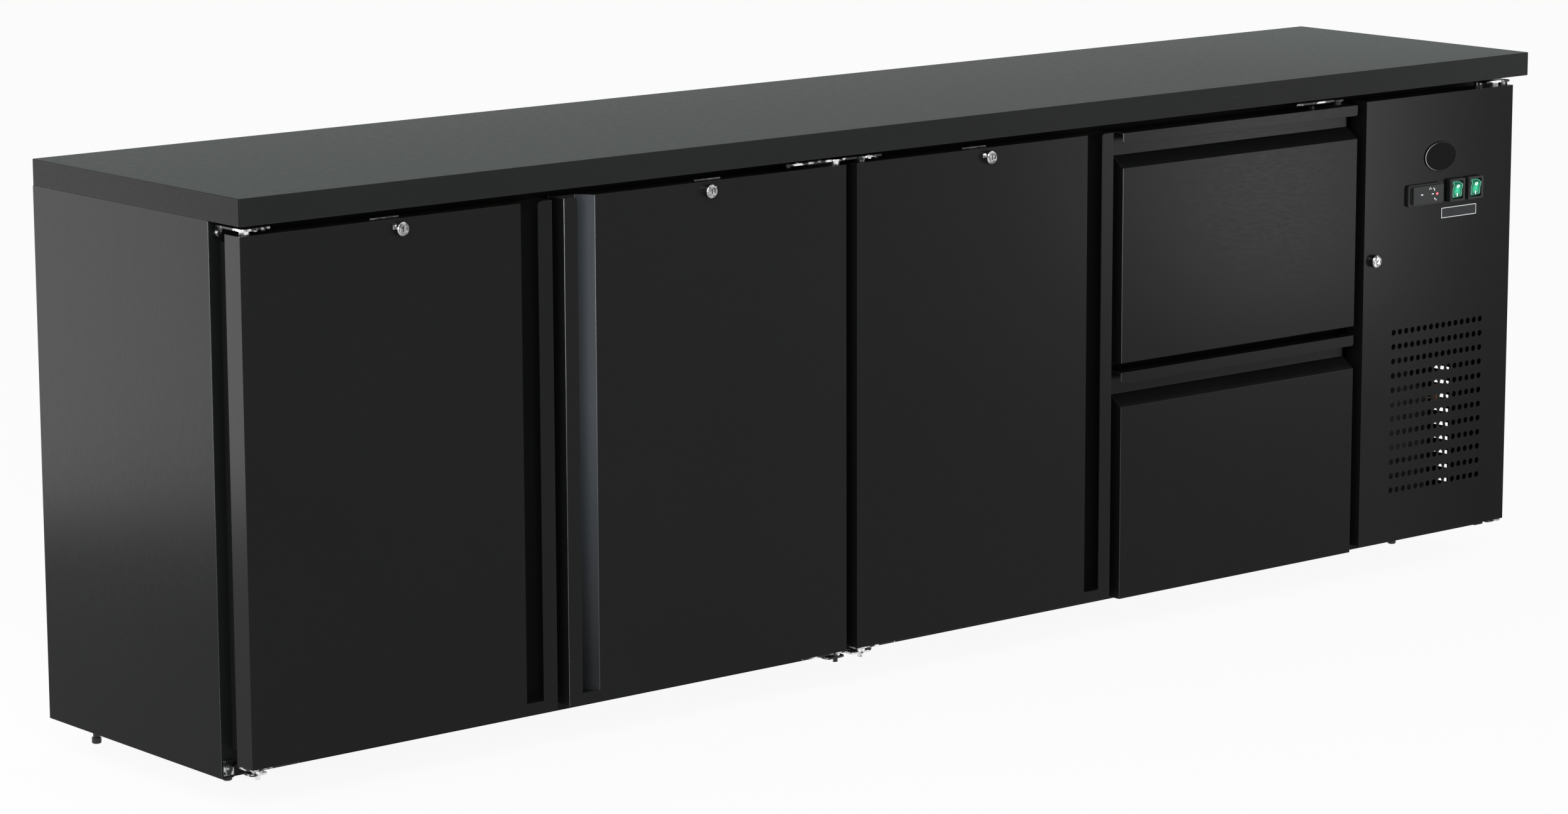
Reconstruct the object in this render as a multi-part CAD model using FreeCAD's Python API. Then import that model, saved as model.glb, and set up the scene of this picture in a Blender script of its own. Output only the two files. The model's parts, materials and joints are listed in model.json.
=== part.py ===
"""Back bar cooler: three hinged doors, two drawers and a hinged machine cover under one worktop.

Millimetres. X runs along the front, Y runs back and Z up. The origin is on the floor,
under the middle of the whole object.
"""

import FreeCAD, Part
import math
import os
from FreeCAD import Vector

# Main sizes
cabinet_width = 2542.0
worktop_depth = 520.0
worktop_thickness = 38.0
body_height = 770.0
foot_height = 42.0

# Fronts: three doors, a stack of two drawers and the machine cover.
# right_hinged is the door, counted from zero, that hangs on its right edge.
front_gap = 21.0
first_front_inset = 3.0
front_setback = 5.0
shell_depth = 36.0
skin = 1.0
top_gap = 14.0
door_bottom_gap = 26.0
drawer_top_gap = 17.0
drawer_bottom_gap = 20.0
drawer_gap = 15.0
cover_width = 348.0
cover_side_inset = 31.0
door_count = 3
right_hinged = 1

# Handle channel folded into each front
door_lip_width = 24.0
door_mouth_width = 30.5
drawer_lip_width = 17.0
drawer_mouth_width = 37.5
channel_depth = 24.0
slant_run = 17.5
lip_thickness = 2.0
door_lip_corner = 6.0
drawer_lip_corner = 4.0
channel_end = 16.0

# Inner pan and seal of each front
pan_depth = 23.0
pan_inset = 14.0
seal_width = 14.0
seal_depth = 11.7
seal_gap = 0.3
seal_landing = 8.0

# Front frame and insulated body
frame_depth = 38.0
sheet = 1.2
liner_sheet = 0.8
rear_recess = 14.0
rear_wall = 39.0
partition_wall = 44.0
ceiling_wall = 50.0
floor_wall = 60.0
panel_return = 20.0
worktop_lip = 45.0
worktop_corner_radius = 2.5
worktop_edge_radius = 1.2

# Hinges: a pin on a fixed bracket turns in a plate on the door. The plate is under the skin
# at the top of a door and in sight at its bottom.
pivot_inset = 14.0
pivot_setback = 10.0
pin_radius = 4.0
pin_reach = 12.0
pin_tip = 7.0
pin_clearance = 0.05
pin_pocket_clearance = 0.6
plate_length = 78.0
plate_width = 24.0
plate_thickness = 3.0
plate_edge_inset = 3.0
bracket_thickness = 3.0
bracket_nose = 9.0
running_gap = 0.3
collar_radius = 7.5
upper_collar_height = 5.7
lower_collar_height = 2.7
flange_width = 13.0
flange_overhang = 1.0
upper_flange_drop = 18.0
lower_flange_drop = 15.0
lower_flange_rise = 6.0
lower_arm_left = 22.0
lower_arm_right = 12.0
tail_setback = 4.0
long_tail = 96.0
short_tail = 38.0
spare_setback = 25.0
cover_tail = 45.0
tail_bolts = 2
tail_bolt_pitch = 13.0
tail_bolt_radius = 3.4
tail_bolt_height = 2.4
tail_hole_radius = 3.0
tail_hole_start = 26.0
tail_hole_pitch = 22.0
slim_collar_height = 0.5
slim_thickness = 2.5

# Door locks
lock_drop = 14.0
lock_proud = 10.0
lock_ring_radius = 9.8
lock_ring_edge = 1.2
lock_barrel_radius = 8.2
lock_groove_outer = 8.0
lock_groove_inner = 7.3
lock_groove_depth = 1.2
lock_plug_recess = 0.9
lock_barrel_length = 21.0
lock_plug_radius = 6.5
lock_clearance = 0.05
lock_hole_clearance = 0.3
cam_length = 32.0
cam_width = 12.0
cam_thickness = 3.0
cam_gap = 0.5
key_slot_width = 1.6
key_slot_height = 8.0
key_slot_depth = 3.0
cam_room = 1.5
guide_plate_left = 36.5
guide_plate_right = 11.0
guide_plate_margin = 2.0
guide_plate_thickness = 0.8
ear_reach = 3.5
ear_height = 6.0
ear_thickness = 3.0

# Worktop slots for the cams
keeper_rise_room = 2.0

# Feet
foot_pad_radius = 7.0
foot_pad_height = 9.0
foot_pad_rim = 2.5
foot_stem_radius = 5.0
foot_plate_side = 24.0
foot_plate_thickness = 3.0
rear_foot_side_inset = 60.0
front_foot_side_inset = 90.0
foot_front_inset = 200.0
foot_rear_inset = 27.5
foot_columns = 3

# Shelves and their rails
shelf_levels = (205.0, 425.0)
shelf_side_gap = 3.5
shelf_front_gap = 6.0
shelf_rear_gap = 5.0
shelf_rod_radius = 3.0
shelf_bar_radius = 2.6
shelf_wire_radius = 1.6
shelf_wire_bite = 0.6
shelf_wires = 17
rail_sheet = 1.5
rail_height = 14.0
rail_ledge = 13.0
rail_lap = 14.0

# Drawers
slide_width = 13.0
slide_height = 45.0
slide_sheet = 1.5
slide_flange = 11.0
slide_play = 0.3
slide_lap = 24.0
mid_web_offset = 5.2
mid_flange_offset = 1.9
mid_rear_gap = 26.8
mid_front_offset = 6.0
inner_rear_gap = 59.8
inner_front_offset = 10.0
inner_flange = 6.0
box_sheet = 1.0
box_rear_gap = 37.8
box_height = 196.0
box_floor_gap = 14.0
slide_height_in_box = 62.0

# Evaporator on the rear wall behind the drawers
evaporator_width = 330.0
evaporator_height = 240.0
evaporator_depth = 52.0
evaporator_top_gap = 18.0
evaporator_coil_width = 290.0
evaporator_coil_height = 190.0
evaporator_coil_depth = 26.0
evaporator_fin_pitch = 10.0
evaporator_tubes = 5
evaporator_sheet = 1.0
evaporator_mouth_radius = 72.0
evaporator_hub_radius = 26.0
evaporator_hub_length = 16.0
evaporator_shaft_radius = 3.0
evaporator_blade_reach = 67.0
evaporator_blade_chord = 34.0
evaporator_blades = 5
motor_bar_width = 22.0
motor_bar_thickness = 2.0
motor_bar_setback = 9.0
blade_pitch_angle = 24.0
blade_thickness = 1.6
blade_root_bite = 4.0

# Lamp under the ceiling of the door compartment
lamp_side_gap = 13.5
lamp_width = 22.0
lamp_height = 14.0
lamp_chamfer = 4.0
lamp_setback = 12.0

# Compressor
compressor_radius = 64.0
compressor_wall_height = 84.0
compressor_dome_height = 34.0
compressor_base_gap = 14.0
compressor_right_inset = 130.0
compressor_rear_inset = 90.0
compressor_foot_length = 196.0
compressor_foot_width = 120.0
compressor_foot_sheet = 3.0
compressor_box_width = 46.0
compressor_box_height = 60.0
compressor_box_depth = 30.0
grommet_radius = 10.0
grommet_inset = 16.0

# Condenser and its fan
condenser_width = 236.0
condenser_height = 236.0
condenser_depth = 44.0
condenser_setback = 16.0
condenser_fin_pitch = 6.0
condenser_tubes = 6
condenser_plate = 1.5
condenser_tube_radius = 4.0
fin_sheet = 0.5
tube_row_shares = (2 / 3, 1 / 3)
fan_plate_thickness = 1.5
fan_mouth_radius = 104.0
fan_blade_reach = 98.0
fan_hub_radius = 24.0
fan_hub_length = 14.0
fan_blade_chord = 52.0
fan_blades = 5
fan_front_gap = 4.0
fan_motor_radius = 30.0
fan_motor_length = 34.0
fan_motor_gap = 6.0
fan_shaft_radius = 4.0
fan_shaft_depth = 12.0
shaft_clearance = 0.05
fan_arm_width = 12.0

# Refrigerant pipes
pipe_radius = 4.0
pipe_bend_radius = 18.0
pipe_spread = 8.5
drier_radius = 10.0
drier_length = 90.0
pipe_hole_radius = 14.0

# Cable gland on the rear panel
nut_sides = 6
gland_flats = 22.0
gland_proud = 11.0
gland_thread_radius = 8.0
gland_inner_reach = 10.0
gland_side_inset = 90.0
gland_rise = 70.0
gland_bore_radius = 4.5
gland_clearance = 0.2

# Vents of the machine room
vent_slot_length = 70.0
vent_slot_height = 6.0
vent_slot_pitch = 24.0
vent_rows = 14
vent_columns = 3
vent_column_pitch = 95.0
vent_rise = 130.0
side_vent_rise = 60.0
side_vent_rows = 9
side_vent_columns = 2
side_vent_column_pitch = 130.0
side_vent_start = 15.0

# Machine cover
cover_sheet = 1.2
hole_radius = 5.0
hole_columns = 15
hole_rows = 12
hole_pitch_x = 14.8
hole_pitch_z = 23.85
hole_field_left = 73.5
hole_field_rise = 84.0
cover_lock_left = 22.0
cover_lock_drop = 260.0
cover_lock_ring_radius = 10.2
cover_lock_proud = 9.0
cover_cam_start = 6.0
cover_cam_length = 30.0
collar_notch_margin = 4.0
keeper_thickness = 2.5
keeper_width = 12.0
keeper_gap = 1.0
badge_width = 75.0
badge_height = 49.0
badge_thickness = 2.0
badge_left = 175.0
badge_drop = 103.0
badge_edge_radius = 0.8
controller_width = 82.0
controller_height = 35.0
controller_proud = 5.0
controller_face_proud = 4.5
controller_face_width = 72.0
controller_face_inset = 2.5
controller_face_offset = 2.5
controller_body_width = 71.0
controller_body_height = 29.0
controller_body_depth = 52.0
controller_left = 137.0
controller_drop = 162.0
controller_corner_radius = 5.0

# Rocker switches
switch_width = 36.0
switch_height = 37.0
switch_proud = 8.0
switch_body_width = 31.0
switch_body_height = 34.0
switch_body_depth = 24.0
rocker_width = 24.0
rocker_radius = 14.5
rocker_gap = 0.4
rocker_front = 11.5
rocker_rear = 8.0
rocker_notch = 2.0
rocker_pivot_setback = 2.5
rocker_tilt = 7.0
rocker_pocket_room = 4.5
trunnion_radius = 2.0
trunnion_length = 1.2
trunnion_clearance = 0.05
switch_lefts = (210.5, 254.5)
switch_drop = 161.0
switch_corner_radius = 2.0
cutout_gap = 0.2

# Screws of the hinge brackets
screw_radius = 2.4
screw_head_radius = 4.4
screw_head_height = 2.6
screw_length = 18.0
screw_hole_clearance = 0.1
upper_screw_share = 2 / 3
lower_screw_share = 1 / 5

# How far a cutting tool runs past the face that it cuts
overrun = 2.0

# Angles in degrees: a full turn, and how far an edge may lean and still count as running along an axis
full_turn = 360.0
edge_lean = 1.0

half_width = cabinet_width / 2
section_pitch = (cabinet_width - first_front_inset - cover_width - cover_side_inset) / (door_count + 1)
front_width = section_pitch - front_gap
lock_overhang = lock_proud - front_setback
overall_depth = worktop_depth + lock_overhang
worktop_front = lock_overhang - overall_depth / 2
worktop_rear = worktop_front + worktop_depth
front = worktop_front + front_setback
shell_rear = front + shell_depth
pan_rear = shell_rear + pan_depth
seal_rear = pan_rear + seal_depth
frame_front = seal_rear + seal_gap
frame_rear = frame_front + frame_depth
panel_rear = worktop_rear - rear_recess
liner_rear = panel_rear - sheet - rear_wall

base = foot_height
underside = base + body_height
top = underside + worktop_thickness
door_top = underside - top_gap
door_bottom = base + door_bottom_gap
drawer_top = underside - drawer_top_gap
drawer_bottom = base + drawer_bottom_gap
drawer_height = (drawer_top - drawer_bottom - drawer_gap) / 2
base_top = base + 2 * sheet
floor_level = base_top + floor_wall
ceiling_level = underside - ceiling_wall

opening_inset = pan_inset + seal_width + seal_landing
left_wall_inside = -half_width + first_front_inset + opening_inset
drawer_left = -half_width + first_front_inset + door_count * section_pitch
drawer_right = drawer_left + front_width
left_slide_wall = drawer_left + opening_inset
cover_left = drawer_right + front_gap
cover_right = cover_left + cover_width
right_wall_inside = drawer_right - opening_inset
partition_right = right_wall_inside + liner_sheet + partition_wall
cover_pivot_x = cover_right - pivot_inset
pivot_y = front + pivot_setback
lock_z = door_top - lock_drop
cam_front = front + lock_barrel_length + cam_gap
cam_rear = cam_front + cam_thickness
upper_plate_level = door_top + running_gap + upper_collar_height


def front_left(section):
    """Left edge of a front, counted from the left."""
    return -half_width + first_front_inset + section * section_pitch


def box(x0, x1, y0, y1, z0, z1):
    """Block between two corners."""
    return Part.makeBox(x1 - x0, y1 - y0, z1 - z0, Vector(x0, y0, z0))


def rod(radius, start, end):
    """Round bar from one point to another."""
    axis = end - start
    return Part.makeCylinder(radius, axis.Length, start, axis)


def bar_x(radius, x, y, z, reach):
    """Round bar along X, as far to the left of x as to the right."""
    return rod(radius, Vector(x - reach, y, z), Vector(x + reach, y, z))


def bar_y(radius, x, z, y0, y1):
    """Round bar along Y."""
    return rod(radius, Vector(x, y0, z), Vector(x, y1, z))


def bar_z(radius, x, y, z0, z1):
    """Round bar along Z."""
    return rod(radius, Vector(x, y, z0), Vector(x, y, z1))


def prism_z(outline, z0, z1):
    """Outline in X and Y, drawn up from z0 to z1."""
    points = [Vector(x, y, z0) for x, y in outline]
    face = Part.Face(Part.makePolygon(points + points[:1]))
    return face.extrude(Vector(0, 0, z1 - z0))


def prism_x(outline, x0, x1):
    """Outline in Y and Z, drawn from x0 to x1."""
    points = [Vector(x0, y, z) for y, z in outline]
    face = Part.Face(Part.makePolygon(points + points[:1]))
    return face.extrude(Vector(x1 - x0, 0, 0))


def join(shapes):
    """One solid from shapes that overlap or share a face."""
    return shapes[0].fuse(shapes[1:]).removeSplitter()


def edges_along(shape, axis, wanted=lambda middle: True):
    """Straight edges that run along an axis and whose middle is wanted."""
    found = []
    for edge in shape.Edges:
        if len(edge.Vertexes) != 2:
            continue
        run = edge.Vertexes[1].Point - edge.Vertexes[0].Point
        if run.Length > 0 and abs(run.normalize().dot(axis)) > math.cos(math.radians(edge_lean)):
            middle = (edge.Vertexes[0].Point + edge.Vertexes[1].Point) * 0.5
            if wanted(middle):
                found.append(edge)
    return found


def save(name, *solids):
    """Writes one node, as one solid or a group of separate ones."""
    shape = solids[0] if len(solids) == 1 else Part.makeCompound(list(solids))
    shape.exportStep(os.path.join("parts", name + ".step"))


X = Vector(1, 0, 0)
Y = Vector(0, 1, 0)
Z = Vector(0, 0, 1)


# Fronts: a skin folded into a tray with a handle channel, filled with foam
def channel_outline(edge, lip, mouth):
    """Space of a handle channel, across its run: distance along the front, and depth."""
    face_edge = edge - lip - mouth
    return [
        (face_edge, front - overrun),
        (face_edge, front),
        (face_edge + slant_run, front + channel_depth),
        (edge - skin, front + channel_depth),
        (edge - skin, front + lip_thickness),
        (edge - lip, front + lip_thickness),
        (edge - lip, front - overrun),
    ]


def foam_outline(near, edge, lip, mouth):
    """Space behind the skin: it follows the face, the slant and the back of the channel."""
    face_edge = edge - lip - mouth
    slant_length = math.hypot(slant_run, channel_depth)
    shift = skin * slant_length / channel_depth
    slope = slant_run / channel_depth
    return [
        (near + skin, front + skin),
        (face_edge + slope * skin - shift, front + skin),
        (face_edge + slope * (channel_depth + skin) - shift, front + channel_depth + skin),
        (edge - skin, front + channel_depth + skin),
        (edge - skin, shell_rear),
        (near + skin, shell_rear),
    ]


def seal_strips(x0, x1, z0, z1):
    """Door seal: four strips with mitred corners, on the back of the pan."""
    inset = pan_inset + seal_width
    outer = [
        (x0 + pan_inset, z0 + pan_inset), (x1 - pan_inset, z0 + pan_inset),
        (x1 - pan_inset, z1 - pan_inset), (x0 + pan_inset, z1 - pan_inset),
    ]
    inner = [(x0 + inset, z0 + inset), (x1 - inset, z0 + inset),
             (x1 - inset, z1 - inset), (x0 + inset, z1 - inset)]
    strips = []
    for n in range(len(outer)):
        after = (n + 1) % len(outer)
        corners = [outer[n], outer[after], inner[after], inner[n]]
        points = [Vector(x, pan_rear, z) for x, z in corners]
        face = Part.Face(Part.makePolygon(points + points[:1]))
        strips.append(face.extrude(Y * seal_depth))
    return strips


def pan(x0, x1, z0, z1):
    """Inner pan on the back of the foam, with its edges drawn in."""
    block = box(
        x0 + pan_inset, x1 - pan_inset, shell_rear, pan_rear, z0 + pan_inset, z1 - pan_inset
    )
    rim = [edge for edge in block.Edges if edge.CenterOfMass.y > pan_rear - skin]
    return block.makeChamfer(skin, rim)


def plate_blank(z0, z1):
    """Hinge plate of a door that hangs on its left edge, before it is bored."""
    plate = box(
        plate_edge_inset, plate_edge_inset + plate_length,
        front + plate_edge_inset, front + plate_edge_inset + plate_width, z0, z1,
    )
    far = edges_along(plate, Z, lambda p: p.x > plate_length / 2)
    return plate.makeFillet(plate_width / 4, far)


def lock_barrel(x, z):
    """Fixed ring and barrel of a cam lock."""
    ring = bar_y(lock_ring_radius, x, z, front - lock_proud, front)
    rim = [edge for edge in ring.Edges if edge.CenterOfMass.y < front - lock_proud * 3 / 4]
    ring = ring.makeChamfer(lock_ring_edge, rim)
    ring = ring.cut(lock_groove(x, z, lock_proud))
    ear = box(x - lock_ring_radius - ear_reach, x, front - ear_thickness, front, z, z + ear_height)
    barrel = bar_y(lock_barrel_radius, x, z, front, front + lock_barrel_length)
    bore = bar_y(
        lock_plug_radius + lock_clearance, x, z,
        front - lock_proud - overrun, front + lock_barrel_length + overrun,
    )
    return join([ring, ear, barrel]).cut(bore)


def lock_groove(x, z, proud):
    """Round groove in the face of a lock's ring."""
    outer = bar_y(lock_groove_outer, x, z, front - proud - overrun, front - proud + lock_groove_depth)
    return outer.cut(bar_y(lock_groove_inner, x, z, front - proud - overrun, front))


def guide_plate(x):
    """Plate on the door's top edge, round the slot that the cam comes out of."""
    y0 = cam_front - cam_room
    y1 = cam_rear + cam_room
    plate = box(
        x - guide_plate_left, x + guide_plate_right, y0 - guide_plate_margin, y1 + guide_plate_margin,
        door_top, door_top + guide_plate_thickness,
    )
    return plate.cut(cam_slot(x))


def cam_slot(x):
    """Room in the door for the cam, open at the top."""
    return box(
        x - cam_length - cam_room, x + cam_width / 2 + cam_room,
        cam_front - cam_room, cam_rear + cam_room,
        lock_z - cam_width / 2 - cam_room, door_top + guide_plate_thickness + overrun,
    )


def lock_plug(x, z, proud, cam_start, length):
    """Turning plug, with its cam across the far end."""
    plug = bar_y(lock_plug_radius, x, z, front - proud, cam_start + cam_thickness)
    half = cam_width / 2
    cam = box(x - length, x, cam_start, cam_start + cam_thickness, z - half, z + half)
    tip = edges_along(cam, Y, lambda p: p.x < x - length / 2)
    cam = cam.makeFillet(half / 2, tip)
    slot = box(
        x - key_slot_width / 2, x + key_slot_width / 2,
        front - proud - overrun, front - proud + key_slot_depth,
        z - key_slot_height / 2, z + key_slot_height / 2,
    )
    return join([plug, cam]).cut(slot)


def door(node, left, hinge_right):
    """One door, drawn with its hinge at x = 0 and turned over when it hangs on the right."""
    edge = front_width
    lock_x = front_width / 2
    block = box(0, edge, front, shell_rear, door_bottom, door_top)
    channel = prism_z(
        channel_outline(edge, door_lip_width, door_mouth_width),
        door_bottom + channel_end, door_top + overrun,
    )
    foam = join([
        prism_z(
            foam_outline(0, edge, door_lip_width, door_mouth_width), door_bottom + skin, door_top - skin
        ),
        box(skin, edge - skin, front + skin, shell_rear,
            door_bottom + skin, door_bottom + channel_end - skin),
    ])
    rear_mouth = box(
        skin, edge - skin, shell_rear, shell_rear + overrun, door_bottom + skin, door_top - skin
    )
    shell = block.cut(channel)
    lip_corners = edges_along(
        shell, Y,
        lambda p: abs(p.x - (edge - door_lip_width)) < skin
        and p.y < front + lip_thickness and p.z > door_top - skin,
    )
    shell = shell.makeFillet(door_lip_corner, lip_corners)
    shell = shell.cut(foam).cut(rear_mouth)

    upper_plate = plate_blank(door_top - skin - plate_thickness, door_top - skin)
    lower_plate = plate_blank(door_bottom - plate_thickness, door_bottom)
    bore = bar_z(
        pin_radius + pin_clearance, pivot_inset, pivot_y,
        door_bottom - plate_thickness - overrun, door_top + overrun,
    )
    liner = join([foam, pan(0, edge, door_bottom, door_top)]).cut(upper_plate)
    pocket_radius = pin_radius + pin_pocket_clearance
    pockets = [
        bar_z(
            pocket_radius, pivot_inset, pivot_y,
            door_top - pin_reach - pin_pocket_clearance, door_top + overrun,
        ),
        bar_z(
            pocket_radius, pivot_inset, pivot_y,
            door_bottom - overrun, door_bottom + pin_reach + pin_pocket_clearance,
        ),
    ]
    barrel_hole = bar_y(
        lock_barrel_radius + lock_hole_clearance, lock_x, lock_z,
        front - overrun, cam_rear + cam_room,
    )
    for cut in pockets + [barrel_hole, cam_slot(lock_x)]:
        shell = shell.cut(cut)
        liner = liner.cut(cut)

    pieces = {
        "shell": [shell],
        "liner": [liner],
        "gasket": seal_strips(0, edge, door_bottom, door_top),
        "hinge_plates": [upper_plate.cut(bore), lower_plate.cut(bore)],
        "lock_body": [lock_barrel(lock_x, lock_z), guide_plate(lock_x)],
        "lock_plug": [lock_plug(lock_x, lock_z, lock_proud - lock_plug_recess, cam_front, cam_length)],
    }
    for part, solids in pieces.items():
        placed = []
        for solid in solids:
            if hinge_right:
                solid = solid.mirror(Vector(0, 0, 0), X)
            solid.translate(Vector(left + (front_width if hinge_right else 0), 0, 0))
            placed.append(solid)
        save(node + "_" + part, *placed)


# Drawers
def slide_channel(web, reach, height, facing, wall, y0, y1, z):
    """Folded runner: a web and two flanges. web and reach count from the wall."""
    half = height / 2
    spans = [
        (web, web + slide_sheet, -half, half),
        (reach[0], reach[1], half - slide_sheet, half),
        (reach[0], reach[1], -half, -half + slide_sheet),
    ]
    bars = []
    for near, far, low, high in spans:
        x0, x1 = sorted((wall + facing * near, wall + facing * far))
        bars.append(box(x0, x1, y0, y1, z + low, z + high))
    return join(bars)


def drawer(node, z0):
    """One drawer: its front, seal, box and the runners on the box."""
    z1 = z0 + drawer_height
    block = box(drawer_left, drawer_right, front, shell_rear, z0, z1)
    channel = prism_x(
        [(y, z) for z, y in channel_outline(z1, drawer_lip_width, drawer_mouth_width)],
        drawer_left - overrun, drawer_right + overrun,
    )
    foam = prism_x(
        [(y, z) for z, y in foam_outline(z0, z1, drawer_lip_width, drawer_mouth_width)],
        drawer_left + skin, drawer_right - skin,
    )
    rear_mouth = box(
        drawer_left + skin, drawer_right - skin, shell_rear, shell_rear + overrun, z0 + skin, z1 - skin
    )
    shell = block.cut(channel)
    lip_z = z1 - drawer_lip_width
    lip_corners = edges_along(
        shell, Y, lambda p: abs(p.z - lip_z) < skin and p.y < front + lip_thickness
    )
    shell = shell.makeFillet(drawer_lip_corner, lip_corners)
    shell = shell.cut(foam).cut(rear_mouth)
    save(node + "_shell", shell)
    save(node + "_liner", join([foam, pan(drawer_left, drawer_right, z0, z1)]))
    save(node + "_gasket", *seal_strips(drawer_left, drawer_right, z0, z1))

    box_left = drawer_left + opening_inset + slide_width
    box_right = drawer_right - opening_inset - slide_width
    box_bottom = max(z0 + opening_inset, floor_level) + box_floor_gap
    box_top = box_bottom + box_height
    box_rear = liner_rear - evaporator_depth - box_rear_gap
    outer = box(box_left, box_right, pan_rear, box_rear, box_bottom, box_top)
    inner = box(
        box_left + box_sheet, box_right - box_sheet,
        pan_rear + box_sheet, box_rear - box_sheet,
        box_bottom + box_sheet, box_top + overrun,
    )
    save(node + "_box", outer.cut(inner))

    slide_z = box_bottom + slide_height_in_box
    inner_y = frame_front + inner_front_offset
    mid_y = frame_front + slide_lap / 2 + mid_front_offset
    inner_height = slide_height - 4 * slide_sheet - 4 * slide_play
    mid_height = slide_height - 2 * slide_sheet - 2 * slide_play
    web = slide_width - slide_sheet
    inners = []
    mids = []
    outers = []
    for wall, facing in ((left_slide_wall, 1), (right_wall_inside, -1)):
        inners.append(slide_channel(
            web, (slide_width - inner_flange, slide_width), inner_height,
            facing, wall, inner_y, liner_rear - inner_rear_gap, slide_z,
        ))
        mids.append(slide_channel(
            mid_web_offset, (mid_flange_offset, slide_flange), mid_height,
            facing, wall, mid_y, liner_rear - mid_rear_gap, slide_z,
        ))
        outers.append(slide_channel(
            0, (0, slide_flange), slide_height, facing, wall, frame_rear - slide_lap, liner_rear, slide_z,
        ))
    save(node + "_inner_slides", *inners)
    save(node + "_mid_slides", *mids)
    return outers


# Cabinet shell and insulation
def worktop():
    """Folded worktop: a tray upside down, with a lip turned in along its lower edge."""
    outer = box(-half_width, half_width, worktop_front, worktop_rear, underside, top)
    outer = outer.makeFillet(worktop_corner_radius, edges_along(outer, Z))
    rim = [edge for edge in outer.Edges if edge.CenterOfMass.z > top - sheet]
    outer = outer.makeFillet(worktop_edge_radius, rim)
    room = box(
        -half_width + sheet, half_width - sheet, worktop_front + sheet, worktop_rear - sheet,
        underside + sheet, top - sheet,
    )
    mouth = box(
        -half_width + worktop_lip, half_width - worktop_lip,
        worktop_front + worktop_lip, worktop_rear - worktop_lip, underside - overrun, underside + 2 * sheet,
    )
    shape = outer.cut(room).cut(mouth)
    for slot in cam_keepers():
        shape = shape.cut(slot)
    return shape


def cam_keepers():
    """Slots in the lip of the worktop that the raised lock cams enter."""
    rise = cam_length - lock_drop - top_gap
    slots = []
    for section in range(door_count):
        x = front_left(section) + front_width / 2
        side = 1 if section == right_hinged else -1
        reach = math.sqrt(cam_length ** 2 - (lock_drop + top_gap) ** 2) + cam_width / 2 + cam_room
        near = cam_width / 2 + cam_room
        x0, x1 = sorted((x + side * reach, x - side * near))
        slots.append(box(
            x0, x1, cam_front - cam_room, cam_rear + cam_room,
            underside - overrun, underside + rise + keeper_rise_room,
        ))
    return slots


def side_panels():
    """Outer sides, each with a return along its rear and bottom edge; the right one has vents."""
    panels = []
    for side in (-1, 1):
        x0, x1 = sorted((side * half_width, side * (half_width - sheet)))
        r0, r1 = sorted((side * half_width, side * (half_width - panel_return)))
        panel = join([
            box(x0, x1, frame_front, worktop_rear, base, underside),
            box(r0, r1, worktop_rear - sheet, worktop_rear, base, underside),
            box(r0, r1, frame_front, worktop_rear, base, base + sheet),
        ])
        if side > 0:
            slots = []
            for column in range(side_vent_columns):
                y = frame_rear + side_vent_start + side_vent_column_pitch * column
                for row in range(side_vent_rows):
                    z = base + side_vent_rise + row * vent_slot_pitch
                    slots.append(box(
                        x0 - overrun, x1 + overrun, y, y + vent_slot_length, z, z + vent_slot_height
                    ))
            panel = panel.cut(Part.makeCompound(slots))
        panels.append(panel)
    return panels


def gland_place():
    """Where the cable gland goes through the rear panel."""
    return half_width - gland_side_inset, base + gland_rise


def rear_panel():
    """Outer rear skin, with vents and the gland's hole behind the machine room."""
    inner_half = half_width - sheet
    panel = box(-inner_half, inner_half, panel_rear - sheet, panel_rear, base + sheet, underside)
    cuts = []
    middle = (partition_right + inner_half) / 2
    for column in range(vent_columns):
        x = middle + (column - (vent_columns - 1) / 2) * vent_column_pitch - vent_slot_length / 2
        for row in range(vent_rows):
            z = base + vent_rise + row * vent_slot_pitch
            cuts.append(box(
                x, x + vent_slot_length, panel_rear - sheet - overrun, panel_rear + overrun,
                z, z + vent_slot_height,
            ))
    x, z = gland_place()
    cuts.append(bar_y(
        gland_thread_radius + gland_clearance, x, z, panel_rear - sheet - overrun, panel_rear + overrun
    ))
    return panel.cut(Part.makeCompound(cuts))


def insulation():
    """Foam slabs round the cold room and the filling of the worktop."""
    inner_half = half_width - sheet
    wall = liner_sheet
    rear = panel_rear - sheet
    x_left = left_wall_inside - wall
    slabs = [
        box(-inner_half, partition_right, frame_rear, rear, base_top, floor_level - wall),
        box(-inner_half, partition_right, frame_rear, rear, ceiling_level + wall, underside),
        box(-inner_half, x_left, frame_rear, rear, floor_level - wall, ceiling_level + wall),
        box(x_left, right_wall_inside + wall, liner_rear + wall, rear,
            floor_level - wall, ceiling_level + wall),
    ]
    partition = box(
        right_wall_inside + wall, partition_right, frame_rear, rear,
        floor_level - wall, ceiling_level + wall,
    )
    slabs.append(partition.cut(pipe_hole()))
    filling = box(
        -inner_half, inner_half, worktop_front + sheet, worktop_rear - sheet,
        underside + sheet, top - sheet,
    )
    for slot in cam_keepers():
        filling = filling.cut(slot)
    slabs.append(filling)
    return slabs


def pipe_place():
    """Where the refrigerant pipes cross the partition."""
    z = ceiling_level - evaporator_top_gap - evaporator_height / 2
    return liner_rear - evaporator_coil_depth / 2, z


def pipe_hole():
    """Hole through the partition for the refrigerant pipes."""
    y, z = pipe_place()
    return rod(
        pipe_hole_radius, Vector(right_wall_inside - overrun, y, z),
        Vector(partition_right + overrun, y, z),
    )


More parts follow.
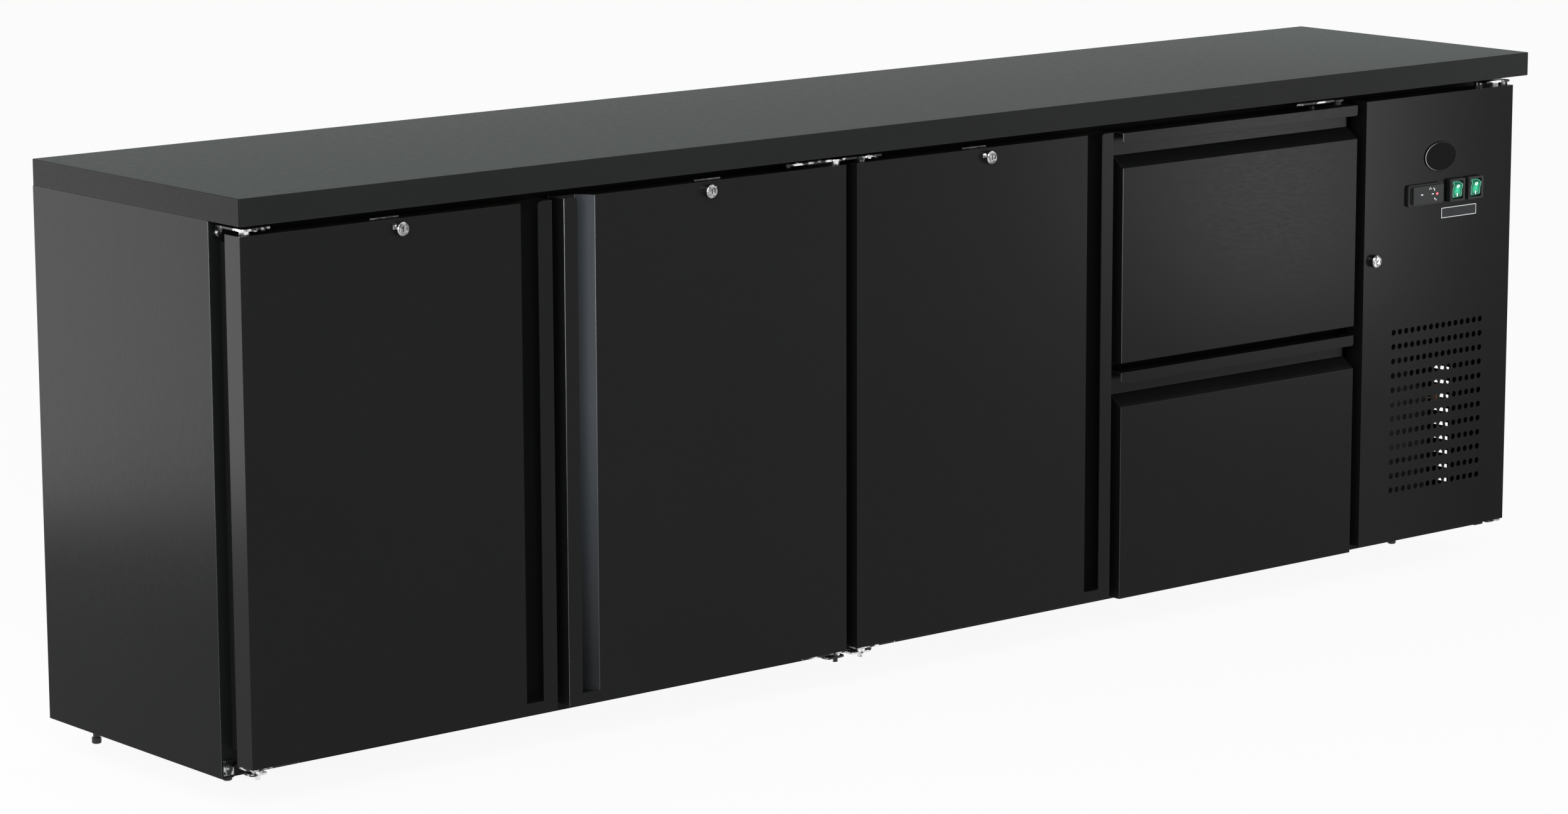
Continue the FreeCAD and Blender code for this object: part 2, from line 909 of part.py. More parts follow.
def inner_liner():
    """Tub that lines the cold room, open at the front."""
    wall = liner_sheet
    outer = box(
        left_wall_inside - wall, right_wall_inside + wall, frame_rear, liner_rear + wall,
        floor_level - wall, ceiling_level + wall,
    )
    room = box(
        left_wall_inside, right_wall_inside, frame_rear - overrun, liner_rear, floor_level, ceiling_level
    )
    return outer.cut(room).cut(pipe_hole())


def post_edges():
    """Left and right edge of each upright of the front frame, from left to right."""
    inner_half = half_width - sheet
    edges = [(-inner_half, left_wall_inside)]
    for section in range(door_count):
        right = front_left(section) + front_width - opening_inset
        edges.append((right, front_left(section + 1) + opening_inset))
    edges.append((right_wall_inside, cover_left + pan_inset + keeper_width / 2))
    edges.append((cover_right - pan_inset - keeper_width / 2, inner_half))
    return edges


def front_frame():
    """Rails, uprights and the rail between the drawers, with the keeper of the cover's lock."""
    inner_half = half_width - sheet
    rails = [
        box(-inner_half, inner_half, frame_front, frame_rear, base_top, floor_level),
        box(-inner_half, inner_half, frame_front, frame_rear, ceiling_level, underside),
    ]
    posts = [
        box(x0, x1, frame_front, frame_rear, floor_level, ceiling_level) for x0, x1 in post_edges()
    ]
    lower_top = drawer_top - drawer_height - drawer_gap
    cross = box(
        left_slide_wall, right_wall_inside, frame_front, frame_rear,
        lower_top - opening_inset, lower_top + drawer_gap + opening_inset,
    )
    z = door_top - cover_lock_drop
    lip_rear = shell_rear + cover_cam_start - keeper_gap
    leg_x = cover_left - keeper_width
    half = keeper_width / 2
    keeper = join([
        box(leg_x, leg_x + keeper_thickness, lip_rear - keeper_thickness, frame_front, z - half, z + half),
        box(leg_x, leg_x + keeper_width - keeper_thickness, lip_rear - keeper_thickness, lip_rear,
            z - half, z + half),
        box(leg_x - keeper_width, leg_x + keeper_thickness, frame_front - keeper_thickness, frame_front,
            z - half, z + half),
    ])
    holes = screw_holes()
    cut_rails = [rail.cut(holes) for rail in rails]
    return cut_rails + posts + [cross, keeper]


# Hinge brackets
def hinge_pivots():
    """Pivot of each door, from left to right."""
    pivots = []
    for section in range(door_count):
        inset = front_width - pivot_inset if section == right_hinged else pivot_inset
        pivots.append(front_left(section) + inset)
    return pivots


def upper_brackets():
    """Brackets over the fronts: span of the plate, span of the flange, pivots, and if pins hang from it."""
    first, second, third = hinge_pivots()
    left = first - bracket_nose
    spare = drawer_right - pivot_inset - spare_setback
    spare_right = spare + bracket_nose
    return [
        (left, first + short_tail, left, left + flange_width, [first], True),
        (second - long_tail, third + short_tail, second - flange_width, third + flange_width,
         [second, third], True),
        (cover_pivot_x - cover_tail, cover_pivot_x + bracket_nose,
         cover_right - flange_width, cover_right, [cover_pivot_x], True),
        (spare - long_tail, spare_right, spare_right - flange_width, spare_right, [spare], False),
    ]


def upper_bracket(plate_left, plate_right, flange_left, flange_right, pivots, pinned):
    """Angle bracket on the front frame: noses round its pivots, a set back tail, holes and pins."""
    z0 = upper_plate_level
    z1 = z0 + bracket_thickness
    pieces = [
        box(plate_left, plate_right, pivot_y - bracket_nose + tail_setback, frame_front, z0, z1),
        box(flange_left, flange_right, frame_front - bracket_thickness, frame_front,
            z1 - upper_flange_drop, z1),
    ]
    for x in pivots:
        nose = box(
            max(x - bracket_nose, plate_left), min(x + bracket_nose, plate_right),
            pivot_y - bracket_nose, pivot_y + bracket_nose, z0, z1,
        )
        corners = edges_along(nose, Z, lambda p: p.y < pivot_y)
        pieces.append(nose.makeFillet(bracket_nose / 2, corners))
    bracket = join(pieces)
    x = pivots[0] - tail_hole_start
    while x - tail_hole_radius > plate_left + tail_setback:
        bracket = bracket.cut(bar_z(tail_hole_radius, x, pivot_y, z0 - overrun, z1 + overrun))
        x -= tail_hole_pitch
    pins = []
    for x in pivots:
        low = door_top - pin_reach if pinned else z0 - upper_collar_height
        pins.append(bar_z(pin_radius, x, pivot_y, low, z1))
        pins.append(bar_z(collar_radius, x, pivot_y, z0 - upper_collar_height, z0))
    return join([bracket] + pins)


def lower_bracket(x, slim):
    """Bracket under one front. The slim one is all but hidden by the front's lower edge."""
    collar = slim_collar_height if slim else lower_collar_height
    thickness = slim_thickness if slim else bracket_thickness
    seat = door_bottom if slim else door_bottom - plate_thickness
    z1 = seat - running_gap - collar
    z0 = z1 - thickness
    rise = 0 if slim else lower_flange_rise
    left = max(x - lower_arm_left, front_left(0) - flange_overhang)
    right = x + lower_arm_right
    plate = box(left, right, pivot_y - bracket_nose, frame_front, z0, z1)
    corners = edges_along(plate, Z, lambda p: p.y < pivot_y)
    screw_room = box(
        left - overrun, left + flange_width, pivot_y + bracket_nose, frame_front + overrun,
        z0 - overrun, z1 + overrun,
    )
    tip = 0 if slim else pin_tip
    return join([
        plate.makeFillet(bracket_nose / 2, corners).cut(screw_room),
        box(left, left + flange_width + bracket_thickness, frame_front - bracket_thickness, frame_front,
            z1 - lower_flange_drop, z1 + rise),
        bar_z(pin_radius, x, pivot_y, z0 - tip, door_bottom + pin_reach),
        bar_z(collar_radius, x, pivot_y, z1, z1 + collar),
    ])


def lower_pivots():
    """Pivots that have a bracket below: every door's and the cover's."""
    return hinge_pivots() + [cover_pivot_x]


def screw_places():
    """Middle of each bracket screw, on the face of its flange."""
    y = frame_front - bracket_thickness
    high = upper_plate_level + bracket_thickness - upper_flange_drop * upper_screw_share
    places = []
    for plate_left, plate_right, flange_left, flange_right, pivots, pinned in upper_brackets():
        places.append(Vector(flange_left + flange_width / 2, y, high))
        if len(pivots) > 1:
            places.append(Vector(flange_right - flange_width / 2, y, high))
    low = door_bottom - plate_thickness - lower_collar_height - lower_flange_drop * lower_screw_share
    for x in lower_pivots():
        left = max(x - lower_arm_left, front_left(0) - flange_overhang)
        places.append(Vector(left + flange_width / 2, y, low))
    return places


def tail_bolt_places():
    """Bolts near the ends of the tails over the doors."""
    first, second, third = hinge_pivots()
    inset = tail_bolt_radius + tail_setback
    places = [second - long_tail + inset]
    for pivot in (first, third):
        for n in range(tail_bolts):
            places.append(pivot + short_tail - inset - n * tail_bolt_pitch)
    return places


def screw_holes():
    """Holes of all bracket screws."""
    holes = []
    for place in screw_places():
        end = place + Y * (bracket_thickness + screw_length)
        holes.append(rod(screw_radius + screw_hole_clearance, place - Y * overrun, end))
    return Part.makeCompound(holes)


def screws():
    """Pan-head screws of the flanges, and the bolt heads under the tails."""
    made = []
    for place in screw_places():
        head = rod(screw_head_radius, place - Y * screw_head_height, place)
        rim = [edge for edge in head.Edges if edge.CenterOfMass.y < place.y - screw_head_height / 2]
        head = head.makeFillet(screw_head_height / 2, rim[:1])
        shank = rod(screw_radius, place, place + Y * (screw_length - bracket_thickness))
        made.append(join([head, shank]))
    for x in tail_bolt_places():
        made.append(bar_z(
            tail_bolt_radius, x, pivot_y, upper_plate_level - tail_bolt_height, upper_plate_level
        ))
    return made


def hinge_brackets():
    """All brackets, with their screw holes."""
    holes = screw_holes()
    made = [upper_bracket(*bracket).cut(holes) for bracket in upper_brackets()]
    made += [lower_bracket(x, x == cover_pivot_x).cut(holes) for x in lower_pivots()]
    return made


# Feet
def feet():
    """Adjustable feet: a plate under the base, a stem and a round pad."""
    made = []
    side = foot_plate_side / 2
    plate_z = base + sheet - foot_plate_thickness
    rows = [
        (worktop_front + foot_front_inset, half_width - front_foot_side_inset),
        (worktop_rear - foot_rear_inset, half_width - rear_foot_side_inset),
    ]
    for y, span in rows:
        for column in range(foot_columns):
            x = -span + 2 * span * column / (foot_columns - 1)
            pad = bar_z(foot_pad_radius, x, y, 0, foot_pad_height)
            rim = [edge for edge in pad.Edges if edge.CenterOfMass.z < foot_pad_rim]
            made.append(join([
                pad.makeFillet(foot_pad_rim, rim[:1]),
                bar_z(foot_stem_radius, x, y, foot_pad_height, plate_z),
                box(x - side, x + side, y - side, y + side, plate_z, base + sheet),
            ]))
    return made


# Shelves
def shelf_places():
    """Middle of each door opening, left to right."""
    return [front_left(section) + front_width / 2 for section in range(door_count)]


def shelf_rails():
    """Angle rails that carry the shelves, from the uprights to the rear wall."""
    half = front_width / 2 - opening_inset
    made = []
    for middle in shelf_places():
        for level in shelf_levels:
            z = floor_level + level
            for side in (-1, 1):
                wall = middle + side * half
                w0, w1 = sorted((wall, wall - side * rail_sheet))
                l0, l1 = sorted((wall, wall - side * rail_ledge))
                y0 = frame_rear - rail_lap
                made.append(join([
                    box(w0, w1, y0, liner_rear, z - rail_sheet, z - rail_sheet + rail_height),
                    box(l0, l1, y0, liner_rear, z - rail_sheet, z),
                ]))
    return made


def wire_shelves():
    """Wire shelves that lie on the rails."""
    half = front_width / 2 - opening_inset - shelf_side_gap
    y0 = frame_rear - rail_lap + shelf_front_gap
    y1 = liner_rear - shelf_rear_gap
    r = shelf_rod_radius
    bars = []
    for side in (-1, 1):
        x = side * (half - r)
        bars.append(rod(r, Vector(x, y0, r), Vector(x, y1, r)))
    for y in (y0 + 2 * r, (y0 + y1) / 2, y1 - 2 * r):
        bars.append(rod(shelf_bar_radius, Vector(r - half, y, r), Vector(half - r, y, r)))
    z = r + shelf_bar_radius + shelf_wire_radius - shelf_wire_bite
    for n in range(1, shelf_wires + 1):
        x = (r - half) + 2 * (half - r) * n / (shelf_wires + 1)
        bars.append(rod(shelf_wire_radius, Vector(x, y0, z), Vector(x, y1, z)))
    shelf = join(bars)
    made = []
    for middle in shelf_places():
        for level in shelf_levels:
            copy = shelf.copy()
            copy.translate(Vector(middle, 0, floor_level + level))
            made.append(copy)
    return made


# Fans, coils and machine room
def fan(x, z, y0, hub_radius, hub_length, reach, chord, blades):
    """Axial fan that blows along Y, with flat pitched blades."""
    hub = bar_y(hub_radius, x, z, y0, y0 + hub_length)
    middle = y0 + hub_length / 2
    shapes = [hub]
    for n in range(blades):
        blade = box(-chord / 2, chord / 2, -blade_thickness / 2, blade_thickness / 2,
                    hub_radius - blade_root_bite, reach)
        tip = edges_along(blade, Y, lambda p: p.z > reach - chord / 4)
        blade = blade.makeFillet(chord / 4, tip)
        blade.rotate(Vector(0, 0, 0), Z, blade_pitch_angle)
        blade.rotate(Vector(0, 0, 0), Y, full_turn * n / blades)
        blade.translate(Vector(x, middle, z))
        shapes.append(blade)
    return join(shapes)


def fin_coil(x0, x1, y0, y1, z0, z1, pitch, tubes, tube_radius, end_sheet):
    """Fins between two end plates, on tubes that run along X."""
    count = int((x1 - x0 - 2 * end_sheet) / pitch)
    start = (x0 + x1) / 2 - pitch * (count - 1) / 2
    plates = [box(x0, x0 + end_sheet, y0, y1, z0, z1), box(x1 - end_sheet, x1, y0, y1, z0, z1)]
    for n in range(count):
        x = start + n * pitch
        plates.append(box(x - fin_sheet / 2, x + fin_sheet / 2, y0, y1, z0, z1))
    step = (z1 - z0) / tubes
    for n in range(tubes):
        z = z0 + step * (n + 1 / 2)
        y = y0 + (y1 - y0) * tube_row_shares[n % 2]
        plates.append(rod(tube_radius, Vector(x0 - tube_radius, y, z), Vector(x1 + tube_radius, y, z)))
    return join(plates)


def evaporator_box():
    """Corners of the evaporator's casing on the rear wall."""
    middle = (left_slide_wall + right_wall_inside) / 2
    z1 = ceiling_level - evaporator_top_gap
    return (
        middle - evaporator_width / 2, middle + evaporator_width / 2,
        liner_rear - evaporator_depth, liner_rear, z1 - evaporator_height, z1,
    )


def evaporator():
    """Casing with its fan mouth, the coil in it and the fan in the mouth."""
    x0, x1, y0, y1, z0, z1 = evaporator_box()
    t = evaporator_sheet
    x = (x0 + x1) / 2
    z = (z0 + z1) / 2
    casing = box(x0, x1, y0, y1, z0, z1)
    casing = casing.cut(box(x0 + t, x1 - t, y0 + t, y1 + overrun, z0 + t, z1 - t))
    casing = casing.cut(bar_y(evaporator_mouth_radius, x, z, y0 - overrun, y0 + t + overrun))
    bar_front = y0 + motor_bar_setback
    half = motor_bar_width / 2
    bar = box(x - half, x + half, bar_front, bar_front + motor_bar_thickness, z0, z1)
    fan_end = y0 + evaporator_hub_length / 2
    boss = bar_y(half, x, z, fan_end + running_gap, bar_front + motor_bar_thickness)
    shaft_end = bar_front
    bore = bar_y(evaporator_shaft_radius + shaft_clearance, x, z, fan_end - overrun, shaft_end)
    y, pipe_z = pipe_place()
    casing = casing.cut(rod(pipe_hole_radius, Vector(x1 - t - overrun, y, pipe_z),
                            Vector(x1 + overrun, y, pipe_z)))
    save("evaporator_housing", join([casing, bar, boss]).cut(bore))
    save("evaporator_coil", fin_coil(
        x - evaporator_coil_width / 2, x + evaporator_coil_width / 2, y1 - evaporator_coil_depth, y1,
        z - evaporator_coil_height / 2, z + evaporator_coil_height / 2,
        evaporator_fin_pitch, evaporator_tubes, condenser_tube_radius, condenser_plate,
    ))
    blades = fan(
        x, z, fan_end - evaporator_hub_length, evaporator_hub_radius, evaporator_hub_length,
        evaporator_blade_reach, evaporator_blade_chord, evaporator_blades,
    )
    shaft = bar_y(evaporator_shaft_radius, x, z, fan_end - evaporator_hub_length, shaft_end - running_gap)
    save("evaporator_fan", join([blades, shaft]))


def lamp():
    """Lamp strip under the ceiling, behind the top rail."""
    x0 = left_wall_inside + lamp_side_gap
    x1 = front_left(door_count) - front_gap - opening_inset - lamp_side_gap
    y0 = frame_rear + lamp_setback
    strip = box(x0, x1, y0, y0 + lamp_width, ceiling_level - lamp_height, ceiling_level)
    low = edges_along(strip, X, lambda p: p.z < ceiling_level - lamp_height / 2)
    return strip.makeChamfer(lamp_chamfer, low)


def compressor_place():
    """Middle of the compressor on the base."""
    return half_width - compressor_right_inset, panel_rear - compressor_rear_inset


def compressor():
    """Hermetic compressor: a domed can on a foot plate, with its terminal box."""
    x, y = compressor_place()
    r = compressor_radius
    z0 = base_top + compressor_base_gap
    z1 = z0 + 2 * compressor_dome_height + compressor_wall_height
    can = bar_z(r, x, y, z0, z1)
    rims = [edge for edge in can.Edges if len(edge.Vertexes) == 1]
    can = can.makeFillet(compressor_dome_height, rims)
    fl = compressor_foot_length / 2
    fw = compressor_foot_width / 2
    plate_z = z0 + compressor_foot_sheet
    shapes = [can, box(x - fl, x + fl, y - fw, y + fw, z0, plate_z)]
    for sx in (-1, 1):
        for sy in (-1, 1):
            gx = x + sx * (fl - grommet_inset)
            gy = y + sy * (fw - grommet_inset)
            shapes.append(bar_z(grommet_radius, gx, gy, base_top, plate_z))
    bh = compressor_box_height / 2
    bw = compressor_box_width / 2
    mid = (z0 + z1) / 2
    shapes.append(box(x - bw, x + bw, y - r - compressor_box_depth / 2, y - r + compressor_box_depth / 2,
                      mid - bh, mid + bh))
    return join(shapes)


def condenser_box():
    """Corners of the condenser behind the perforated part of the cover."""
    x = (post_edges()[-2][1] + post_edges()[-1][0]) / 2
    y0 = frame_rear + condenser_setback
    return (
        x - condenser_width / 2, x + condenser_width / 2, y0, y0 + condenser_depth,
        base_top, base_top + condenser_height,
    )


def condenser():
    """Condenser, its fan and the plate that carries the fan's motor."""
    x0, x1, y0, y1, z0, z1 = condenser_box()
    x = (x0 + x1) / 2
    z = (z0 + z1) / 2
    save("condenser_coil", fin_coil(
        x0, x1, y0, y1, z0, z1, condenser_fin_pitch, condenser_tubes, condenser_tube_radius,
        condenser_plate,
    ))
    plate_rear = y1 + fan_plate_thickness
    fan_y = plate_rear + fan_front_gap
    motor_y = fan_y + fan_hub_length + fan_motor_gap
    plate = box(x0, x1, y1, plate_rear, z0, z1)
    plate = plate.cut(bar_y(fan_mouth_radius, x, z, y1 - overrun, plate_rear + overrun))
    motor = bar_y(fan_motor_radius, x, z, motor_y, motor_y + fan_motor_length)
    bore_end = motor_y + fan_shaft_depth
    motor = motor.cut(bar_y(fan_shaft_radius + shaft_clearance, x, z, motor_y - overrun, bore_end))
    shapes = [plate, motor]
    half = fan_arm_width / 2
    for side in (-1, 1):
        a0, a1 = sorted((side * fan_motor_radius / 2, side * condenser_width / 2))
        shapes.append(box(x + a0, x + a1, motor_y, motor_y + fan_plate_thickness, z - half, z + half))
        edge = x + side * condenser_width / 2
        e0, e1 = sorted((edge, edge - side * fan_plate_thickness))
        shapes.append(box(e0, e1, y1, motor_y + fan_plate_thickness, z - half, z + half))
    save("condenser_fan_motor", join(shapes))
    blades = fan(x, z, fan_y, fan_hub_radius, fan_hub_length, fan_blade_reach, fan_blade_chord, fan_blades)
    shaft = bar_y(fan_shaft_radius, x, z, fan_y, bore_end - running_gap)
    save("condenser_fan", join([blades, shaft]))


def bent_path(points, radius):
    """Wire through points, with its corners rounded."""
    edges = []
    start = points[0]
    for before, corner, after in zip(points, points[1:], points[2:]):
        into = (corner - before).normalize()
        out = (after - corner).normalize()
        half_turn = into.getAngle(out) / 2
        cut = radius * math.tan(half_turn)
        first = corner - into * cut
        last = corner + out * cut
        inward = (out - into).normalize()
        middle = corner + inward * (radius / math.cos(half_turn) - radius)
        edges.append(Part.makeLine(start, first))
        edges.append(Part.Arc(first, middle, last).toShape())
        start = last
    edges.append(Part.makeLine(start, points[-1]))
    return Part.Wire(edges)


def pipe(points):
    """Round pipe along a bent path."""
    path = bent_path(points, pipe_bend_radius)
    ring = Part.Wire(Part.makeCircle(pipe_radius, points[0], points[1] - points[0]))
    return path.makePipeShell([ring], True, False)


def refrigerant_pipes():
    """Discharge, liquid and suction pipes; the liquid pipe has the filter drier."""
    cx, cy = compressor_place()
    x0, x1, y0, y1, z0, z1 = condenser_box()
    step = condenser_height / condenser_tubes
    tube_reach = condenser_tube_radius
    high_tube = z0 + step * (condenser_tubes - 1 / 2)
    low_tube = z0 + step / 2
    low_y = y0 + condenser_depth * tube_row_shares[0]
    high_y = y0 + condenser_depth * tube_row_shares[(condenser_tubes - 1) % 2]
    can_top = base_top + compressor_base_gap + 2 * compressor_dome_height + compressor_wall_height
    rise = can_top + 3 * pipe_bend_radius
    py, pz = pipe_place()
    coil_end = (evaporator_box()[0] + evaporator_box()[1] + evaporator_coil_width) / 2
    run = x1 + tube_reach + 2 * pipe_bend_radius
    low_run = x0 - tube_reach - 2 * pipe_bend_radius
    discharge = pipe([
        Vector(cx + compressor_radius / 3, cy, can_top),
        Vector(cx + compressor_radius / 3, cy, rise),
        Vector(run, cy, rise),
        Vector(run, high_y, rise),
        Vector(run, high_y, high_tube),
        Vector(x1 + tube_reach, high_y, high_tube),
    ])
    liquid = pipe([
        Vector(x0 - tube_reach, low_y, low_tube),
        Vector(low_run, low_y, low_tube),
        Vector(low_run, low_y, pz - pipe_spread),
        Vector(low_run, py, pz - pipe_spread),
        Vector(coil_end, py, pz - pipe_spread),
    ])
    drier = bar_z(drier_radius, low_run, low_y, z1, z1 + drier_length)
    suction = pipe([
        Vector(cx - compressor_radius / 3, cy, can_top),
        Vector(cx - compressor_radius / 3, cy, pz + pipe_spread),
        Vector(cx - compressor_radius / 3 - 4 * pipe_bend_radius, py, pz + pipe_spread),
        Vector(coil_end, py, pz + pipe_spread),
    ])
    return [discharge, join([liquid, drier]), suction]


def nut_outline(radius, u, v):
    """Corners of a nut round a middle."""
    turns = [math.radians(full_turn * n / nut_sides) for n in range(nut_sides)]
    return [(u + radius * math.cos(turn), v + radius * math.sin(turn)) for turn in turns]


def cable_gland():
    """Gland in the rear panel where the supply lead enters."""
    x, z = gland_place()
    radius = gland_flats / 2 / math.cos(math.pi / nut_sides)
    points = [Vector(px, panel_rear, pz) for px, pz in nut_outline(radius, x, z)]
    outer = Part.Face(Part.makePolygon(points + points[:1])).extrude(Y * gland_proud)
    inner_end = panel_rear - sheet - gland_inner_reach
    thread = bar_y(gland_thread_radius, x, z, inner_end, panel_rear)
    nut = bar_y(radius, x, z, panel_rear - sheet - gland_inner_reach / 2, panel_rear - sheet)
    bore = bar_y(gland_bore_radius, x, z, inner_end - overrun, panel_rear + gland_proud + overrun)
    return join([outer, thread, nut]).cut(bore)


# Machine cover and its controls
def cover_panel():
    """Tray with the perforated field, the cut-outs of the controls and its hinge plates."""
    t = cover_sheet
    z0 = door_bottom
    z1 = door_top
    tray = box(cover_left, cover_right, front, shell_rear, z0, z1)
    tray = tray.cut(box(cover_left + t, cover_right - t, front + t, shell_rear + overrun, z0 + t, z1 - t))
    inset = pan_inset
    collar = box(cover_left + inset, cover_right - inset, front + t, seal_rear, z0 + inset, z1 - inset)
    collar = collar.cut(box(
        cover_left + inset + t, cover_right - inset - t, front, seal_rear + overrun,
        z0 + inset + t, z1 - inset - t,
    ))
    lock_level = z1 - cover_lock_drop
    notch = box(
        cover_left, cover_left + inset + t + overrun,
        shell_rear + cover_cam_start - collar_notch_margin, seal_rear + overrun,
        lock_level - cover_cam_length - collar_notch_margin, lock_level + cam_width,
    )
    solids = [tray, collar.cut(notch)]
    for low, high in ((z1 - t - plate_thickness, z1 - t), (z0 + t, z0 + t + plate_thickness)):
        plate = box(
            cover_right - plate_edge_inset - plate_length, cover_right - plate_edge_inset,
            front + plate_edge_inset, front + plate_edge_inset + plate_width, low, high,
        )
        solids.append(plate.makeFillet(
            plate_width / 4, edges_along(plate, Z, lambda p: p.x < cover_right - plate_length / 2)
        ))
    panel = join(solids)
    cuts = []
    reach = t + plate_thickness + overrun
    for z in (z0, z1):
        cuts.append(bar_z(pin_radius + pin_clearance, cover_pivot_x, pivot_y, z - reach, z + reach))
    for column in range(hole_columns):
        for row in range(hole_rows):
            x = cover_left + hole_field_left + column * hole_pitch_x
            z = z0 + hole_field_rise + row * hole_pitch_z
            cuts.append(bar_y(hole_radius, x, z, front - overrun, front + t + overrun))
    cuts.append(bar_y(lock_plug_radius + lock_clearance, cover_left + cover_lock_left,
                      lock_level, front - overrun, front + t + overrun))
    gap = cutout_gap
    x, z = cover_left + controller_left, z1 - controller_drop
    hw = controller_body_width / 2 + gap
    hh = controller_body_height / 2 + gap
    cuts.append(box(x - hw, x + hw, front - overrun, front + t + overrun, z - hh, z + hh))
    hw = switch_body_width / 2 + gap
    hh = switch_body_height / 2 + gap
    for left in switch_lefts:
        x, z = cover_left + left, z1 - switch_drop
        cuts.append(box(x - hw, x + hw, front - overrun, front + t + overrun, z - hh, z + hh))
    return panel.cut(Part.makeCompound(cuts))


def cover_lock():
    """Quarter-turn lock of the cover, unlocked: its cam hangs down."""
    x = cover_left + cover_lock_left
    z = door_top - cover_lock_drop
    cam_start = shell_rear + cover_cam_start
    ring = bar_y(cover_lock_ring_radius, x, z, front - cover_lock_proud, front)
    rim = [edge for edge in ring.Edges if edge.CenterOfMass.y < front - cover_lock_proud * 3 / 4]
    ring = ring.makeChamfer(lock_ring_edge, rim).cut(lock_groove(x, z, cover_lock_proud))
    plug = bar_y(lock_plug_radius, x, z, front, cam_start + cam_thickness)
    half = cam_width / 2
    cam = box(x - half, x + half, cam_start, cam_start + cam_thickness, z - cover_cam_length, z)
    cam = cam.makeFillet(half / 2, edges_along(cam, Y, lambda p: p.z < z - cover_cam_length / 2))
    slot = box(
        x - key_slot_width / 2, x + key_slot_width / 2,
        front - cover_lock_proud - overrun, front - cover_lock_proud + key_slot_depth,
        z - key_slot_height / 2, z + key_slot_height / 2,
    )
    slot.rotate(Vector(x, front, z), Y, full_turn / 8)
    return join([ring, plug, cam]).cut(slot)


def badge():
    """Oval plate on the cover, left bare."""
    x = cover_left + badge_left
    z = door_top - badge_drop
    half_w = badge_width / 2
    half_h = badge_height / 2
    ellipse = Part.Ellipse(Vector(0, 0, 0), half_w, half_h)
    face = Part.Face(Part.Wire(ellipse.toShape()))
    plate = face.extrude(Z * badge_thickness)
    plate.rotate(Vector(0, 0, 0), X, full_turn / 4)
    plate.translate(Vector(x, front, z))
    rim = [edge for edge in plate.Edges if edge.CenterOfMass.y < front - badge_thickness / 2]
    return plate.makeFillet(badge_edge_radius, rim)


def controller():
    """Temperature controller: bezel, raised face and the body behind the cover."""
    x = cover_left + controller_left
    z = door_top - controller_drop
    hw = controller_width / 2
    hh = controller_height / 2
    bezel = box(x - hw, x + hw, front - controller_proud, front, z - hh, z + hh)
    bezel = bezel.makeFillet(controller_corner_radius, edges_along(bezel, Y))
    fh = hh - controller_face_inset
    fw = controller_face_width / 2
    fx = x + controller_face_offset
    face_y = front - controller_proud - controller_face_proud
    face = box(fx - fw, fx + fw, face_y, front, z - fh, z + fh)
    face = face.makeFillet(controller_corner_radius / 2, edges_along(face, Y))
    bw = controller_body_width / 2
    bh = controller_body_height / 2
    body = box(x - bw, x + bw, front, front + controller_body_depth, z - bh, z + bh)
    return join([bezel, face, body])


def switches():
    """Two rocker switches: housings in one node and each rocker in its own."""
    z = door_top - switch_drop
    pivot = front + rocker_pivot_setback
    housings = []
    for number, left in enumerate(switch_lefts, 1):
        x = cover_left + left
        hw = switch_width / 2
        hh = switch_height / 2
        bezel = box(x - hw, x + hw, front - switch_proud, front, z - hh, z + hh)
        bezel = bezel.makeFillet(switch_corner_radius, edges_along(bezel, Y))
        bw = switch_body_width / 2
        bh = switch_body_height / 2
        body = box(x - bw, x + bw, front, front + switch_body_depth, z - bh, z + bh)
        pw = rocker_width / 2 + rocker_gap
        ph = rocker_radius + rocker_gap
        pocket_rear = pivot + rocker_rear + rocker_pocket_room
        pocket = box(x - pw, x + pw, front - switch_proud - overrun, pocket_rear, z - ph, z + ph)
        sockets = bar_x(trunnion_radius + trunnion_clearance, x, pivot, z,
                        pw + trunnion_length + trunnion_clearance)
        housings.append(join([bezel, body]).cut(pocket).cut(sockets))
        drum = bar_x(rocker_radius, x, pivot, z, rocker_width / 2)
        face = pivot - rocker_front
        keep = box(x - rocker_width, x + rocker_width, face, pivot + rocker_rear,
                   z - 2 * rocker_radius, z + 2 * rocker_radius)
        notch = prism_x(
            [(face - overrun, z - rocker_radius), (face, z - rocker_radius),
             (face + rocker_notch, z), (face, z + rocker_radius), (face - overrun, z + rocker_radius)],
            x - rocker_width, x + rocker_width,
        )
        trunnions = bar_x(trunnion_radius, x, pivot, z, pw + trunnion_length)
        rocker = join([drum.common(keep).cut(notch), trunnions])
        rocker.rotate(Vector(x, pivot, z), X, rocker_tilt)
        save("rocker_" + str(number), rocker)
    save("switch_housings", *housings)


def main():
    os.makedirs("parts", exist_ok=True)
    save("worktop", worktop())
    save("side_panels", *side_panels())
    save("rear_panel", rear_panel())
    inner_half = half_width - sheet
    save("base_pan", box(-inner_half, inner_half, frame_front, panel_rear - sheet, base + sheet, base_top))
    save("insulation", *insulation())
    save("inner_liner", inner_liner())
    save("front_frame", *front_frame())
    save("hinge_brackets", *hinge_brackets())
    save("bracket_screws", *screws())
    save("feet", *feet())
    save("shelf_rails", *shelf_rails())
    save("wire_shelves", *wire_shelves())
    save("interior_lamp", lamp())
    evaporator()
    save("compressor", compressor())
    condenser()
    save("refrigerant_pipes", *refrigerant_pipes())
    save("cable_gland", cable_gland())
    for section in range(door_count):
        door("door_" + str(section + 1), front_left(section), section == right_hinged)
    outers = drawer("drawer_upper", drawer_top - drawer_height)
    outers += drawer("drawer_lower", drawer_bottom)
    save("drawer_outer_slides", *outers)
    save("cover_panel", cover_panel())
    save("cover_lock", cover_lock())
    save("badge", badge())
    save("temperature_controller", controller())
    switches()


main()
